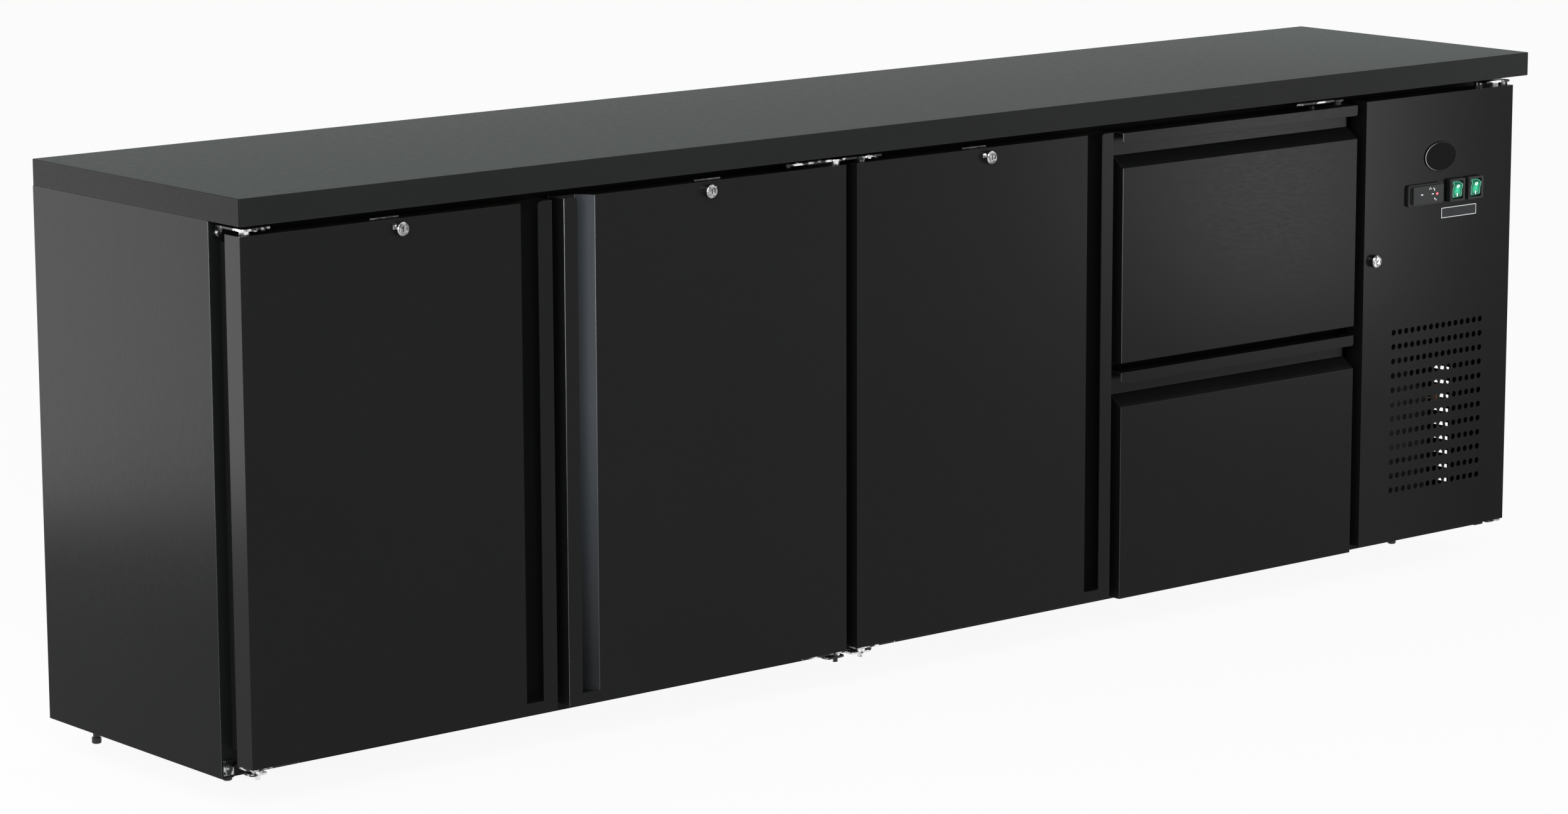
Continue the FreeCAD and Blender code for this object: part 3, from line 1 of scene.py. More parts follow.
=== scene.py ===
"""Looks of the back bar cooler: finishes, small details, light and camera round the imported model."""

import json
import math

import bmesh
import bpy
from mathutils import Matrix, Vector


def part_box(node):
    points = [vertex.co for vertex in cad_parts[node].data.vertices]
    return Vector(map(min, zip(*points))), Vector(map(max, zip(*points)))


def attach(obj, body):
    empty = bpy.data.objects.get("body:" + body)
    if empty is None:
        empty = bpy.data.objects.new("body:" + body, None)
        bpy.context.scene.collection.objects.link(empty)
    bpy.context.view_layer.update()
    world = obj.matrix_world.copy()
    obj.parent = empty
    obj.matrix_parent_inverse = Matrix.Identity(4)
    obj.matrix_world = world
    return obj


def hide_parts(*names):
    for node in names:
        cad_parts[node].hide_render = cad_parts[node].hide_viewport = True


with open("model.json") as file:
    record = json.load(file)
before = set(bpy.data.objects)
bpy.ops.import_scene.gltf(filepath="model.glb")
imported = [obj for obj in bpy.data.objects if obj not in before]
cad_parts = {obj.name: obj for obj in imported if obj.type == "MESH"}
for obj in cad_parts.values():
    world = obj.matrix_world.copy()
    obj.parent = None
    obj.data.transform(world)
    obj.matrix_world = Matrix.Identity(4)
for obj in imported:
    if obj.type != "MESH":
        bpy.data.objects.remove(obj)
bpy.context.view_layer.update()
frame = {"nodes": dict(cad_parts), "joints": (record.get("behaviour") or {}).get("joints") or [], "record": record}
nodes = frame["nodes"]
MM = 0.001

# Sizes read from the model
cover_low, cover_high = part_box("cover_panel")
drawer_low, drawer_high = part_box("drawer_upper_shell")

# Camera: it stands to the left of the cooler and looks along it
PHOTO_SIZE = (2494, 1295)
CAMERA_PLACE = (-4.8105, -5.6112, 1.7814)
CAMERA_YAW = 0.6965
CAMERA_PITCH = -0.188
CAMERA_ROLL = -0.0031
CAMERA_FOCAL_PIXELS = 7752.7
SENSOR_WIDTH = 36.0
CAMERA_REACH = 100.0

# Light and floor
WORLD_STRENGTH = 0.55
FLOOR_COLOUR = (0.86, 0.86, 0.86, 1.0)
FLOOR_ROUGHNESS = 0.9
FLOOR_REACH = 30.0
FLOOR_WHITE = 0.93
# Name, place, target, size and radiance of each soft box
LIGHTS = (
    ("key", (-2.6, -4.2, 3.8), (0.0, 0.0, 0.4), (3.0, 2.0), 7.0),
    ("right_panel", (2.86, -2.40, 0.60), (0.76, -0.25, 0.60), (0.36, 1.2), 7.4),
    ("left_panel", (-2.02, 1.22, 0.78), (-1.27, 0.05, 0.78), (0.9, 1.4), 3.1),
    ("side_panel", (-3.4, -1.9, 1.35), (-0.7, -0.25, 0.6), (1.2, 1.1), 8.5),
)


def linear(value):
    """Linear light of a display value from 0 to 255."""
    share = value / 255
    if share <= 0.04045:
        return share / 12.92
    return ((share + 0.055) / 1.055) ** 2.4


def shade(red, green, blue):
    """Linear colour of a display colour."""
    return (linear(red), linear(green), linear(blue), 1.0)


def times(colour, share, lift=0.0):
    """Colour times a share, with a lift, kept below white."""
    return tuple(min(1.0, part * share + lift) for part in colour[:3]) + (1.0,)


# Bounds of the node helpers' masks, between none and full
NOISE_SPAN = (0.3, 0.7)
EDGE_DOT_SPAN = (0.80, 0.99)
HIGHLIGHT_DOT_SPAN = (0.90, 0.995)
HIGHLIGHT_LEFT_SPAN = (-0.35, -0.12)
HIGHLIGHT_UPRIGHT_SPAN = (0.1, 0.3)
SLANT_ASIDE_SPAN = (0.72, 0.78)
SLANT_AWAY_SPAN = (0.52, 0.57)
UPWARD_SPAN = (0.6, 0.8)
LEFTWARD_SPAN = (-0.9, -0.7)
BUMP_DEPTH = 0.2 * MM


class Nodes:
    """Builds one material's node tree."""

    def __init__(self, name):
        self.material = bpy.data.materials.new(name)
        self.material.use_nodes = True
        self.tree = self.material.node_tree
        self.tree.nodes.clear()
        self.output = self.add("ShaderNodeOutputMaterial")
        self.shader = self.add("ShaderNodeBsdfPrincipled")
        self.link(self.shader.outputs[0], self.output.inputs["Surface"])
        self.coordinates = self.add("ShaderNodeTexCoord").outputs["Object"]

    def add(self, kind, **settings):
        node = self.tree.nodes.new(kind)
        for key, value in settings.items():
            setattr(node, key, value)
        return node

    def link(self, start, end):
        self.tree.links.new(start, end)

    def stretched(self, scale):
        """Object coordinates, scaled along each axis."""
        mapping = self.add("ShaderNodeMapping")
        mapping.inputs["Scale"].default_value = scale
        self.link(self.coordinates, mapping.inputs["Vector"])
        return mapping.outputs[0]

    def noise(self, scale, detail=2.0, vector=None, distortion=0.0):
        """Noise from 0 to 1."""
        node = self.add("ShaderNodeTexNoise")
        node.inputs["Scale"].default_value = scale
        node.inputs["Detail"].default_value = detail
        node.inputs["Distortion"].default_value = distortion
        self.link(self.coordinates if vector is None else vector, node.inputs["Vector"])
        return node.outputs["Fac"]

    def spread(self, value, low, high, start=NOISE_SPAN[0], end=NOISE_SPAN[1]):
        """Value between start and end, stretched to low and high."""
        node = self.add("ShaderNodeMapRange")
        node.inputs["From Min"].default_value = start
        node.inputs["From Max"].default_value = end
        node.inputs["To Min"].default_value = low
        node.inputs["To Max"].default_value = high
        self.link(value, node.inputs["Value"])
        return node.outputs[0]

    def blend(self, share, first, second):
        """Mix of two colours or sockets."""
        node = self.add("ShaderNodeMix", data_type="RGBA")
        for place, value in ((6, first), (7, second)):
            if isinstance(value, tuple):
                node.inputs[place].default_value = value
            else:
                self.link(value, node.inputs[place])
        if isinstance(share, float):
            node.inputs[0].default_value = share
        else:
            self.link(share, node.inputs[0])
        return node.outputs[2]

    def maths(self, operation, first, second=0.0):
        """Arithmetic on two values."""
        node = self.add("ShaderNodeMath", operation=operation)
        for place, value in ((0, first), (1, second)):
            if isinstance(value, (int, float)):
                node.inputs[place].default_value = value
            else:
                self.link(value, node.inputs[place])
        return node.outputs[0]

    def rounding(self, width, samples):
        """Normal rounded over the edges, and how well it agrees with the real one."""
        bevel = self.add("ShaderNodeBevel", samples=samples)
        bevel.inputs["Radius"].default_value = width
        geometry = self.add("ShaderNodeNewGeometry")
        dot = self.add("ShaderNodeVectorMath", operation="DOT_PRODUCT")
        self.link(bevel.outputs[0], dot.inputs[0])
        self.link(geometry.outputs["Normal"], dot.inputs[1])
        return bevel.outputs[0], dot.outputs["Value"]

    def edges(self, width):
        """1 on edges and 0 on flats."""
        dot = self.rounding(width, 4)[1]
        return self.spread(dot, 1.0, 0.0, *EDGE_DOT_SPAN)

    def split(self, vector):
        """The three parts of a vector."""
        parts = self.add("ShaderNodeSeparateXYZ")
        self.link(vector, parts.inputs[0])
        return parts.outputs

    def facing(self, normal):
        """Parts of a normal in the piece's own frame."""
        local = self.add(
            "ShaderNodeVectorTransform", vector_type="NORMAL", convert_from="WORLD", convert_to="OBJECT"
        )
        self.link(normal, local.inputs[0])
        return self.split(local.outputs[0])

    def face_normal(self):
        """Parts of the flat normal in the piece's own frame."""
        return self.facing(self.add("ShaderNodeNewGeometry").outputs["True Normal"])

    def slant(self):
        """1 on faces that lie aslant to the front and 0 elsewhere."""
        parts = self.face_normal()
        aside = self.maths("ABSOLUTE", parts["X"])
        away = self.maths("MULTIPLY", parts["Y"], -1.0)
        return self.maths(
            "MULTIPLY", self.spread(aside, 0.0, 1.0, *SLANT_ASIDE_SPAN),
            self.spread(away, 0.0, 1.0, *SLANT_AWAY_SPAN),
        )

    def upward(self):
        """1 on faces that look up and 0 elsewhere."""
        parts = self.face_normal()
        return self.spread(parts["Z"], 0.0, 1.0, *UPWARD_SPAN)

    def leftward(self):
        """1 on faces that look left and 0 elsewhere."""
        parts = self.face_normal()
        return self.spread(parts["X"], 1.0, 0.0, *LEFTWARD_SPAN)

    def clouded(self, noise, colour, spread):
        """Colour with soft clouds, darker and lighter by a share."""
        return self.blend(
            self.spread(noise, 0.0, 1.0), times(colour, 1 - spread), times(colour, 1 + spread)
        )

    def height(self, low, high, start, end):
        """Height in the piece's own frame between start and end, stretched to low and high."""
        return self.spread(self.split(self.coordinates)["Z"], low, high, start, end)

    def highlight_edges(self, width):
        """1 on upright edges that look left and 0 elsewhere: the mask of the painted edge highlight."""
        rounded_normal, dot = self.rounding(width, 6)
        edge = self.spread(dot, 1.0, 0.0, *HIGHLIGHT_DOT_SPAN)
        parts = self.facing(rounded_normal)
        left = self.spread(parts["X"], 1.0, 0.0, *HIGHLIGHT_LEFT_SPAN)
        upright = self.spread(self.maths("ABSOLUTE", parts["Z"]), 1.0, 0.0, *HIGHLIGHT_UPRIGHT_SPAN)
        return self.maths("MULTIPLY", self.maths("MULTIPLY", edge, left), upright)

    def bump(self, height, strength):
        """Bump from a height, on the shader's normal."""
        node = self.add("ShaderNodeBump")
        node.inputs["Strength"].default_value = strength
        node.inputs["Distance"].default_value = BUMP_DEPTH
        self.link(height, node.inputs["Height"])
        self.link(node.outputs[0], self.shader.inputs["Normal"])

    def set(self, **values):
        """Fixed numbers on the shader's own sockets."""
        for key, value in values.items():
            self.shader.inputs[key.replace("_", " ")].default_value = value


# Sheet finish: its grain, scales of its noises, least shares of its worn edges and painted edge highlights, and
# heights in metres over which the painted edge highlights and the grip's painted shade fade
GRAIN_SPREAD = 0.06
GRAIN_BUMP = 0.05
CLOUD_SCALE = 3.0
WEAR_NOISE_SCALE = 60.0
WEAR_LEAST = 0.35
HIGHLIGHT_REACH = 1.7
HIGHLIGHT_NOISE_SCALE = 25.0
HIGHLIGHT_LEAST = 0.7
HIGHLIGHT_LOW_SHARE = 0.25
HIGHLIGHT_HEIGHTS = (0.35, 0.75)
GRIP_SHADE_HEIGHTS = (0.12, 0.5)


def grained(name, colour, grain, roughness, wear, wear_colour, specular, lit_top_colour=None,
            shaded_side_colour=None, grip_shade_and_reflection=None, edge_highlight_colour=None, painted_shading_across=None):
    """Sheet finish: colour with soft clouds, a fine grain and worn edges, with painted light: a painted highlight
    on upright left edges, a pale painted reflection on the grip's slant that fades to painted shade towards the
    bottom, a painted lighter top and a painted darker left side.

    The last argument holds two places across and the share of the colour that is left at the second: painted shade
    where that share is below 1, painted light where it is above.
    """
    n = Nodes(name)
    clouds = n.noise(CLOUD_SCALE, 3.0)
    lines = n.noise(1.0, 4.0, n.stretched(grain))
    base = n.clouded(clouds, colour, GRAIN_SPREAD)
    # Painted light: faces that look up get a lighter, greener colour.
    if lit_top_colour:
        base = n.blend(n.upward(), base, lit_top_colour)
    # Painted shade: faces that look left get a darker colour.
    if shaded_side_colour:
        base = n.blend(n.leftward(), base, shaded_side_colour)
    # Painted reflection on the grip's slant, pale at the top and fading to painted shade towards the bottom.
    if grip_shade_and_reflection:
        base = n.blend(n.slant(), base, n.blend(n.height(0.0, 1.0, *GRIP_SHADE_HEIGHTS), *grip_shade_and_reflection))
    streaks = n.spread(lines, 1 - GRAIN_SPREAD, 1 + GRAIN_SPREAD)
    # Painted shading across: the streaked colour is scaled from 1 at the first place to the given share at the
    # second.
    if painted_shading_across:
        start, end, left = painted_shading_across
        across = n.split(n.coordinates)["X"]
        streaks = n.maths("MULTIPLY", streaks, n.spread(across, 1.0, left, start, end))
    streaked = n.add("ShaderNodeVectorMath", operation="SCALE")
    n.link(base, streaked.inputs[0])
    n.link(streaks, streaked.inputs["Scale"])
    base = streaked.outputs[0]
    patchy = n.spread(n.noise(WEAR_NOISE_SCALE, 3.0), WEAR_LEAST, 1.0)
    worn = n.maths("MULTIPLY", n.edges(wear), patchy)
    base = n.blend(worn, base, wear_colour)
    # Painted highlight: upright edges that look left turn pale, more so higher up, for light caught by the edges.
    if edge_highlight_colour:
        patchy = n.spread(n.noise(HIGHLIGHT_NOISE_SCALE), HIGHLIGHT_LEAST, 1.0)
        lightened = n.maths("MULTIPLY", n.highlight_edges(wear * HIGHLIGHT_REACH), patchy)
        lightened = n.maths("MULTIPLY", lightened, n.height(HIGHLIGHT_LOW_SHARE, 1.0, *HIGHLIGHT_HEIGHTS))
        base = n.blend(lightened, base, edge_highlight_colour)
    n.link(base, n.shader.inputs["Base Color"])
    n.link(n.spread(lines, *roughness), n.shader.inputs["Roughness"])
    n.set(Specular_IOR_Level=specular)
    n.bump(lines, GRAIN_BUMP)
    return n.material


# Moulded finish: scale of its clouds, width and share of its rubbed edges, and how much lighter they are
MOULD_CLOUD_SCALE = 12.0
MOULD_EDGE_WIDTH = 0.5 * MM
MOULD_EDGE_SHARE = 0.6
MOULD_EDGE_LIGHT = (1.5, 0.01)


def moulded(name, colour, roughness, texture=900.0, spread=0.10, specular=0.4, bump=0.15):
    """Moulded plastic or rubber: fine pitted texture with edges worn lighter."""
    n = Nodes(name)
    pits = n.noise(texture)
    base = n.clouded(n.noise(MOULD_CLOUD_SCALE, 3.0), colour, spread)
    lightened = n.maths("MULTIPLY", n.edges(MOULD_EDGE_WIDTH), MOULD_EDGE_SHARE)
    base = n.blend(lightened, base, times(colour, *MOULD_EDGE_LIGHT))
    n.link(base, n.shader.inputs["Base Color"])
    n.link(n.spread(pits, *roughness), n.shader.inputs["Roughness"])
    n.set(Specular_IOR_Level=specular)
    n.bump(pits, bump)
    return n.material


# Metal: how its smears are drawn out, what they add to the roughness, and the depth of its grain
SMEAR_DISTORTION = 0.6
SMEAR_ROUGHNESS = 0.03
METAL_BUMP = 0.08


def metal(name, colour, roughness, grain, spread=0.08, grain_scale=1.0, smear_scale=9.0):
    """Bare or plated metal with a stretched grain and fine smears."""
    n = Nodes(name)
    lines = n.noise(grain_scale, 4.0, n.stretched(grain))
    smears = n.noise(smear_scale, 4.0, distortion=SMEAR_DISTORTION)
    n.link(n.clouded(smears, colour, spread), n.shader.inputs["Base Color"])
    extra = n.spread(smears, -SMEAR_ROUGHNESS, SMEAR_ROUGHNESS)
    n.link(n.maths("ADD", n.spread(lines, *roughness), extra), n.shader.inputs["Roughness"])
    n.set(Metallic=1.0)
    n.bump(lines, METAL_BUMP)
    return n.material


# Plating with stains and painted glints: its patches, its fine dark specks and the share of dark in its painted
# shade
PATCH_DISTORTION = 0.4
SPECK_FINENESS = 9.0
SPECK_SHARE = 0.5
SPECK_SPAN = (0.55, 0.7)
SHADE_SHARE = 0.75
SPECK_BUMP = 0.15


def stains_and_glints(name, dark, bright, roughness, scale=55.0, start=0.47, end=0.58, shaded_span=None):
    """Plating with dark stain patches and bright spots between them that are painted glints.

    The last argument holds two places across, and the plating is painted darker between them as painted shade.
    """
    n = Nodes(name)
    patches = n.noise(scale, 4.0, distortion=PATCH_DISTORTION)
    fine = n.noise(scale * SPECK_FINENESS, 3.0)
    base = n.blend(n.spread(patches, 0.0, 1.0, start, end), dark, bright)
    base = n.blend(n.spread(fine, 0.0, SPECK_SHARE, *SPECK_SPAN), base, dark)
    # Painted shade: the plating turns darker between the two places across.
    if shaded_span:
        across = n.split(n.coordinates)["X"]
        inside = n.maths(
            "MULTIPLY", n.spread(across, 0.0, SHADE_SHARE, shaded_span[0], shaded_span[0] + MM),
            n.spread(across, 1.0, 0.0, shaded_span[1] - MM, shaded_span[1]),
        )
        base = n.blend(inside, base, dark)
    n.link(base, n.shader.inputs["Base Color"])
    n.link(n.spread(patches, roughness[1], roughness[0], start, end), n.shader.inputs["Roughness"])
    n.set(Metallic=1.0)
    n.bump(fine, SPECK_BUMP)
    return n.material


# Directions of the grain
ACROSS = (60.0, 320.0, 320.0)
UP = (320.0, 320.0, 60.0)
EVEN = (300.0, 300.0, 300.0)

FRONT_COLOUR = shade(18, 18.5, 18.5)
WORN_COLOUR = shade(56, 59, 58)
# Colours of the grip's slant: painted shade at the bottom and a pale painted reflection at the top.
GRIP_SHADE_AND_REFLECTION = (shade(34, 35, 37), shade(65, 69, 73))
FRONT_SHEET = {"grain": ACROSS, "roughness": (0.22, 0.27), "wear": 0.8 * MM, "specular": 0.10}
# Upright left edges of the front sheet carry a painted highlight.
front_finish = grained(
    "front_finish", FRONT_COLOUR, wear_colour=WORN_COLOUR, edge_highlight_colour=shade(150, 154, 153), **FRONT_SHEET
)
# Cover: painted shade, darker towards the right.
cover_finish = grained(
    "cover_finish", FRONT_COLOUR, ACROSS, (0.20, 0.24), wear=0.8 * MM, wear_colour=WORN_COLOUR,
    specular=0.10, painted_shading_across=(cover_low.x + 60.0 * MM, cover_high.x - 60.0 * MM, 0.2),
)
door_finish = grained(
    "door_finish", FRONT_COLOUR, wear_colour=shade(48, 50, 50), grip_shade_and_reflection=GRIP_SHADE_AND_REFLECTION, **FRONT_SHEET
)
# Middle door: a slightly lighter copy of the door sheet as painted light, with a brighter painted highlight on its
# upright left edges.
middle_door_finish = grained(
    "middle_door_finish", shade(20, 20.5, 20.5), wear_colour=WORN_COLOUR,
    grip_shade_and_reflection=GRIP_SHADE_AND_REFLECTION, edge_highlight_colour=shade(215, 220, 218), **FRONT_SHEET,
)
# Upright left edges of the drawers carry a painted highlight.
drawer_finish = grained(
    "drawer_finish", shade(17, 17.5, 17.5), ACROSS, (0.22, 0.27), wear=0.8 * MM,
    wear_colour=WORN_COLOUR, specular=0.09, edge_highlight_colour=shade(185, 190, 188),
)
# Worktop: painted light on its top, painted shade on its left side, and painted light towards the right over the
# cover.
worktop_finish = grained(
    "worktop_finish", shade(23, 24, 24), ACROSS, (0.48, 0.56), wear=1.0 * MM,
    wear_colour=shade(66, 69, 68), specular=0.115, lit_top_colour=shade(29, 38, 36),
    shaded_side_colour=shade(7, 7, 7), painted_shading_across=(cover_low.x - 100.0 * MM, cover_high.x, 1.6),
)
# Upright edges of the side panels that look left carry a painted highlight.
side_finish = grained(
    "side_finish", shade(13, 14, 14), UP, (0.23, 0.29), wear=1.0 * MM,
    wear_colour=shade(70, 74, 73), specular=0.075, edge_highlight_colour=shade(150, 154, 153),
)
galvanised = metal(
    "galvanised", (0.40, 0.41, 0.42, 1), (0.40, 0.55), EVEN,
    spread=0.14, grain_scale=0.4, smear_scale=45.0,
)
liner_steel = metal("liner_steel", (0.62, 0.62, 0.61, 1), (0.25, 0.38), ACROSS)
plated = metal("plated_steel", (0.66, 0.66, 0.64, 1), (0.22, 0.34), EVEN)
# Hinge zinc: its bright spots are painted glints, and over the drawers it is painted darker as painted shade.
zinc = stains_and_glints(
    "zinc_stains_and_glints", (0.035, 0.036, 0.038, 1), (0.80, 0.81, 0.80, 1), (0.25, 0.42),
    shaded_span=(drawer_low.x, drawer_high.x + 20.0 * MM),
)
chrome = stains_and_glints(
    "chrome_lock", (0.16, 0.16, 0.165, 1), (0.62, 0.62, 0.62, 1), (0.10, 0.22),
    scale=150.0, start=0.35, end=0.6,
)
plug_steel = stains_and_glints(
    "plug_steel", (0.08, 0.08, 0.085, 1), (0.50, 0.50, 0.50, 1), (0.15, 0.30),
    scale=190.0, start=0.38, end=0.62,
)
bright_chrome = stains_and_glints(
    "bright_chrome", (0.06, 0.06, 0.062, 1), (0.36, 0.36, 0.36, 1), (0.14, 0.24),
    scale=230.0, start=0.38, end=0.58,
)
aluminium = metal("fin_aluminium", (0.70, 0.71, 0.72, 1), (0.3, 0.45), UP)
copper = metal("copper", (0.72, 0.38, 0.24, 1), (0.25, 0.4), EVEN, spread=0.18)
frame_plastic = moulded("frame_plastic", shade(15, 16, 16), (0.6, 0.7), specular=0.12)
door_core = moulded("door_core", shade(19, 20, 20), (0.55, 0.65), specular=0.12)
foam = moulded("foam", (0.72, 0.62, 0.38, 1), (0.8, 0.95), texture=300.0, spread=0.18, bump=0.5)
gasket = moulded("gasket_rubber", shade(14, 15, 15), (0.6, 0.7), texture=1500.0, specular=0.12)
foot_plastic = moulded("foot_plastic", (0.020, 0.020, 0.021, 1), (0.4, 0.55))
white_plastic = moulded("white_plastic", (0.74, 0.74, 0.72, 1), (0.3, 0.4), spread=0.03)
fan_plastic = moulded("fan_plastic", (0.030, 0.031, 0.033, 1), (0.4, 0.5))
enamel = moulded("black_enamel", (0.020, 0.021, 0.022, 1), (0.25, 0.4), texture=250.0)
control_plastic = moulded("control_plastic", shade(24, 25, 25), (0.4, 0.52), specular=0.25)
badge_plate = moulded("badge_plate", shade(7, 7, 8), (0.3, 0.4), texture=1200.0, specular=0.035, bump=0.05)
coated_wire = moulded("coated_wire", (0.60, 0.61, 0.61, 1), (0.35, 0.45), texture=600.0, spread=0.06)


LAMP_COLOURS = ((0.78, 0.79, 0.78, 1), (0.86, 0.87, 0.86, 1))
LAMP_CLOUD_SCALE = 40.0
LAMP_ROUGHNESS = (0.25, 0.35)


def lamp_material():
    """Milky plastic strip."""
    n = Nodes("lamp_diffuser")
    clouds = n.noise(LAMP_CLOUD_SCALE)
    n.link(n.blend(n.spread(clouds, 0.0, 1.0), *LAMP_COLOURS), n.shader.inputs["Base Color"])
    n.link(n.spread(clouds, *LAMP_ROUGHNESS), n.shader.inputs["Roughness"])
    return n.material


# Lens of a rocker: place between middle and edge with the colour there, and half its size
LENS_STOPS = (
    (0.0, (0.06, 0.62, 0.36, 1)), (0.2, (0.02, 0.42, 0.22, 1)), (0.55, (0.012, 0.30, 0.15, 1)),
    (0.68, (0.005, 0.11, 0.06, 1)), (0.82, (0.004, 0.09, 0.05, 1)), (0.88, (0.10, 0.42, 0.28, 1)),
    (0.94, (0.10, 0.42, 0.28, 1)), (1.0, (0.004, 0.010, 0.008, 1)),
)
LENS_HALF_WIDTH = 11.6 * MM
LENS_HALF_HEIGHT = 14.2 * MM
LENS_SQUARENESS = 4.0
LENS_MOTTLE_SCALE = 260.0
LENS_MOTTLE = (-0.12, 0.12)
LENS_CORE_SPAN = (0.5, 0.7)
LENS_ROUGHNESS = (0.22, 0.30)
LENS_GLOW = 0.45


def rocker_material(name, middle):
    """Lit green lens: a bright core, a dark border and a pale line near its edge."""
    n = Nodes(name)
    place = n.split(n.coordinates)
    clouds = n.spread(n.noise(LENS_MOTTLE_SCALE, 3.0), *LENS_MOTTLE)
    across = n.maths("ABSOLUTE", n.maths("SUBTRACT", place["X"], middle.x))
    along = n.maths("ABSOLUTE", n.maths("SUBTRACT", place["Z"], middle.z))
    wide = n.maths("POWER", n.maths("DIVIDE", across, LENS_HALF_WIDTH), LENS_SQUARENESS)
    high = n.maths("POWER", n.maths("DIVIDE", along, LENS_HALF_HEIGHT), LENS_SQUARENESS)
    share = n.maths("POWER", n.maths("ADD", wide, high), 1 / LENS_SQUARENESS)
    core = n.maths("MULTIPLY", clouds, n.spread(share, 1.0, 0.0, *LENS_CORE_SPAN))
    ramp = n.add("ShaderNodeValToRGB")
    stops = ramp.color_ramp.elements
    for number, (stop, colour) in enumerate(LENS_STOPS):
        element = stops[number] if number < 2 else stops.new(stop)
        element.position = stop
        element.color = colour
    n.link(n.maths("ADD", share, core), ramp.inputs[0])
    n.link(ramp.outputs[0], n.shader.inputs["Base Color"])
    n.link(ramp.outputs[0], n.shader.inputs["Emission Color"])
    n.link(n.spread(clouds, *LENS_ROUGHNESS, *LENS_MOTTLE), n.shader.inputs["Roughness"])
    n.set(Emission_Strength=LENS_GLOW, Specular_IOR_Level=0.2)
    return n.material


joint_places = {joint["name"]: Vector(joint["pos_m"]) for joint in frame["joints"] if "pos_m" in joint}
lens = rocker_material("rocker_lens", joint_places["rocker_1_tilt"])
second_lens = rocker_material("rocker_lens_2", joint_places["rocker_2_tilt"])

slots = {
    "dark_sheet": front_finish, "galvanised": galvanised, "liner_steel": liner_steel,
    "plated_steel": plated, "chrome_lock": chrome, "frame_plastic": frame_plastic,
    "door_core": door_core, "foam": foam, "gasket_rubber": gasket, "foot_plastic": foot_plastic,
    "coated_wire": coated_wire, "lamp_diffuser": lamp_material(), "white_plastic": white_plastic,
    "fin_aluminium": aluminium, "fan_plastic": fan_plastic, "black_enamel": enamel, "copper": copper,
    "badge_plate": badge_plate, "control_plastic": control_plastic, "rocker_lens": lens,
}
own = {
    "worktop": worktop_finish, "side_panels": side_finish, "hinge_brackets": zinc, "bracket_screws": zinc,
    "cover_lock": bright_chrome, "rocker_2": second_lens, "cover_panel": cover_finish,
}
for door in ("door_1", "door_2", "door_3"):
    own[door + "_shell"] = middle_door_finish if door == "door_2" else door_finish
    own[door + "_hinge_plates"] = zinc
    own[door + "_lock_plug"] = plug_steel
for drawer in ("drawer_upper", "drawer_lower"):
    own[drawer + "_shell"] = drawer_finish


def dress(name, material):
    """Puts one material on a CAD node."""
    mesh = nodes[name].data
    mesh.materials.clear()
    mesh.materials.append(material)


for subpart in frame["record"]["subparts"]:
    node = subpart["node"]
    dress(node, own.get(node, slots[subpart["material_slot"]]))


# Pieces that only the scene has
class Shape:
    """Collects the points and faces of one piece."""

    def __init__(self):
        self.points = []
        self.faces = []

    def rings(self, rings, closed=False, capped=False):
        """Skin over rings of points that have the same count."""
        start = len(self.points)
        count = len(rings[0])
        for ring in rings:
            self.points += [tuple(point) for point in ring]
        spans = len(rings) if closed else len(rings) - 1
        for n in range(spans):
            here = start + n * count
            after = start + (n + 1) % len(rings) * count
            for k in range(count):
                m = (k + 1) % count
                self.faces.append((here + k, here + m, after + m, after + k))
        if capped:
            self.faces.append(tuple(range(start, start + count)))
            self.faces.append(tuple(range(start + spans * count, start + (spans + 1) * count)))

    def plate(self, outline, y0, y1, edge=0.0):
        """Plate in X and Z with rounded-off front edges; y1 is its front."""
        middle = sum((Vector(p) for p in outline), Vector((0, 0))) / len(outline)
        inner = [Vector(p) + (middle - Vector(p)).normalized() * edge for p in outline]
        step = edge if y1 < y0 else -edge
        self.rings([
            [(x, y0, z) for x, z in outline], [(x, y1 + step, z) for x, z in outline],
            [(x, y1, z) for x, z in inner],
        ], capped=True)

    def band(self, outer, inner, y0, y1):
        """Flat band between two outlines in X and Z."""
        self.rings([
            [(x, y0, z) for x, z in outer], [(x, y1, z) for x, z in outer],
            [(x, y1, z) for x, z in inner], [(x, y0, z) for x, z in inner],
        ], closed=True)

    def tube(self, path, radius, closed=False, sides=10):
        """Round tube along a path."""
        rings = []
        count = len(path)
        for n, point in enumerate(path):
            before = path[(n - 1) % count] if closed or n else point
            after = path[(n + 1) % count] if closed or n < count - 1 else point
            run = (Vector(after) - Vector(before)).normalized()
            side = run.cross(Vector((0, 1, 0)) if abs(run.y) < 0.9 else Vector((1, 0, 0))).normalized()
            up = run.cross(side)
            turns = [2 * math.pi * k / sides for k in range(sides)]
            rings.append([
                Vector(point) + (side * math.cos(t) + up * math.sin(t)) * radius for t in turns
            ])
        self.rings(rings, closed=closed, capped=not closed)

    def moved(self, matrix):
        """Turns and moves all points."""
        self.points = [tuple(matrix @ Vector(point)) for point in self.points]

    def made(self, name, material, body, smooth=False):
        """Mesh object that rides on a body."""
        mesh = bpy.data.meshes.new(name)
        mesh.from_pydata(self.points, [], self.faces)
        shape = bmesh.new()
        shape.from_mesh(mesh)
        bmesh.ops.recalc_face_normals(shape, faces=shape.faces)
        for face in shape.faces:
            face.smooth = smooth
        shape.to_mesh(mesh)
        shape.free()
        mesh.materials.append(material)
        piece = bpy.data.objects.new(name, mesh)
        bpy.context.scene.collection.objects.link(piece)
        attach(piece, body)
        return piece


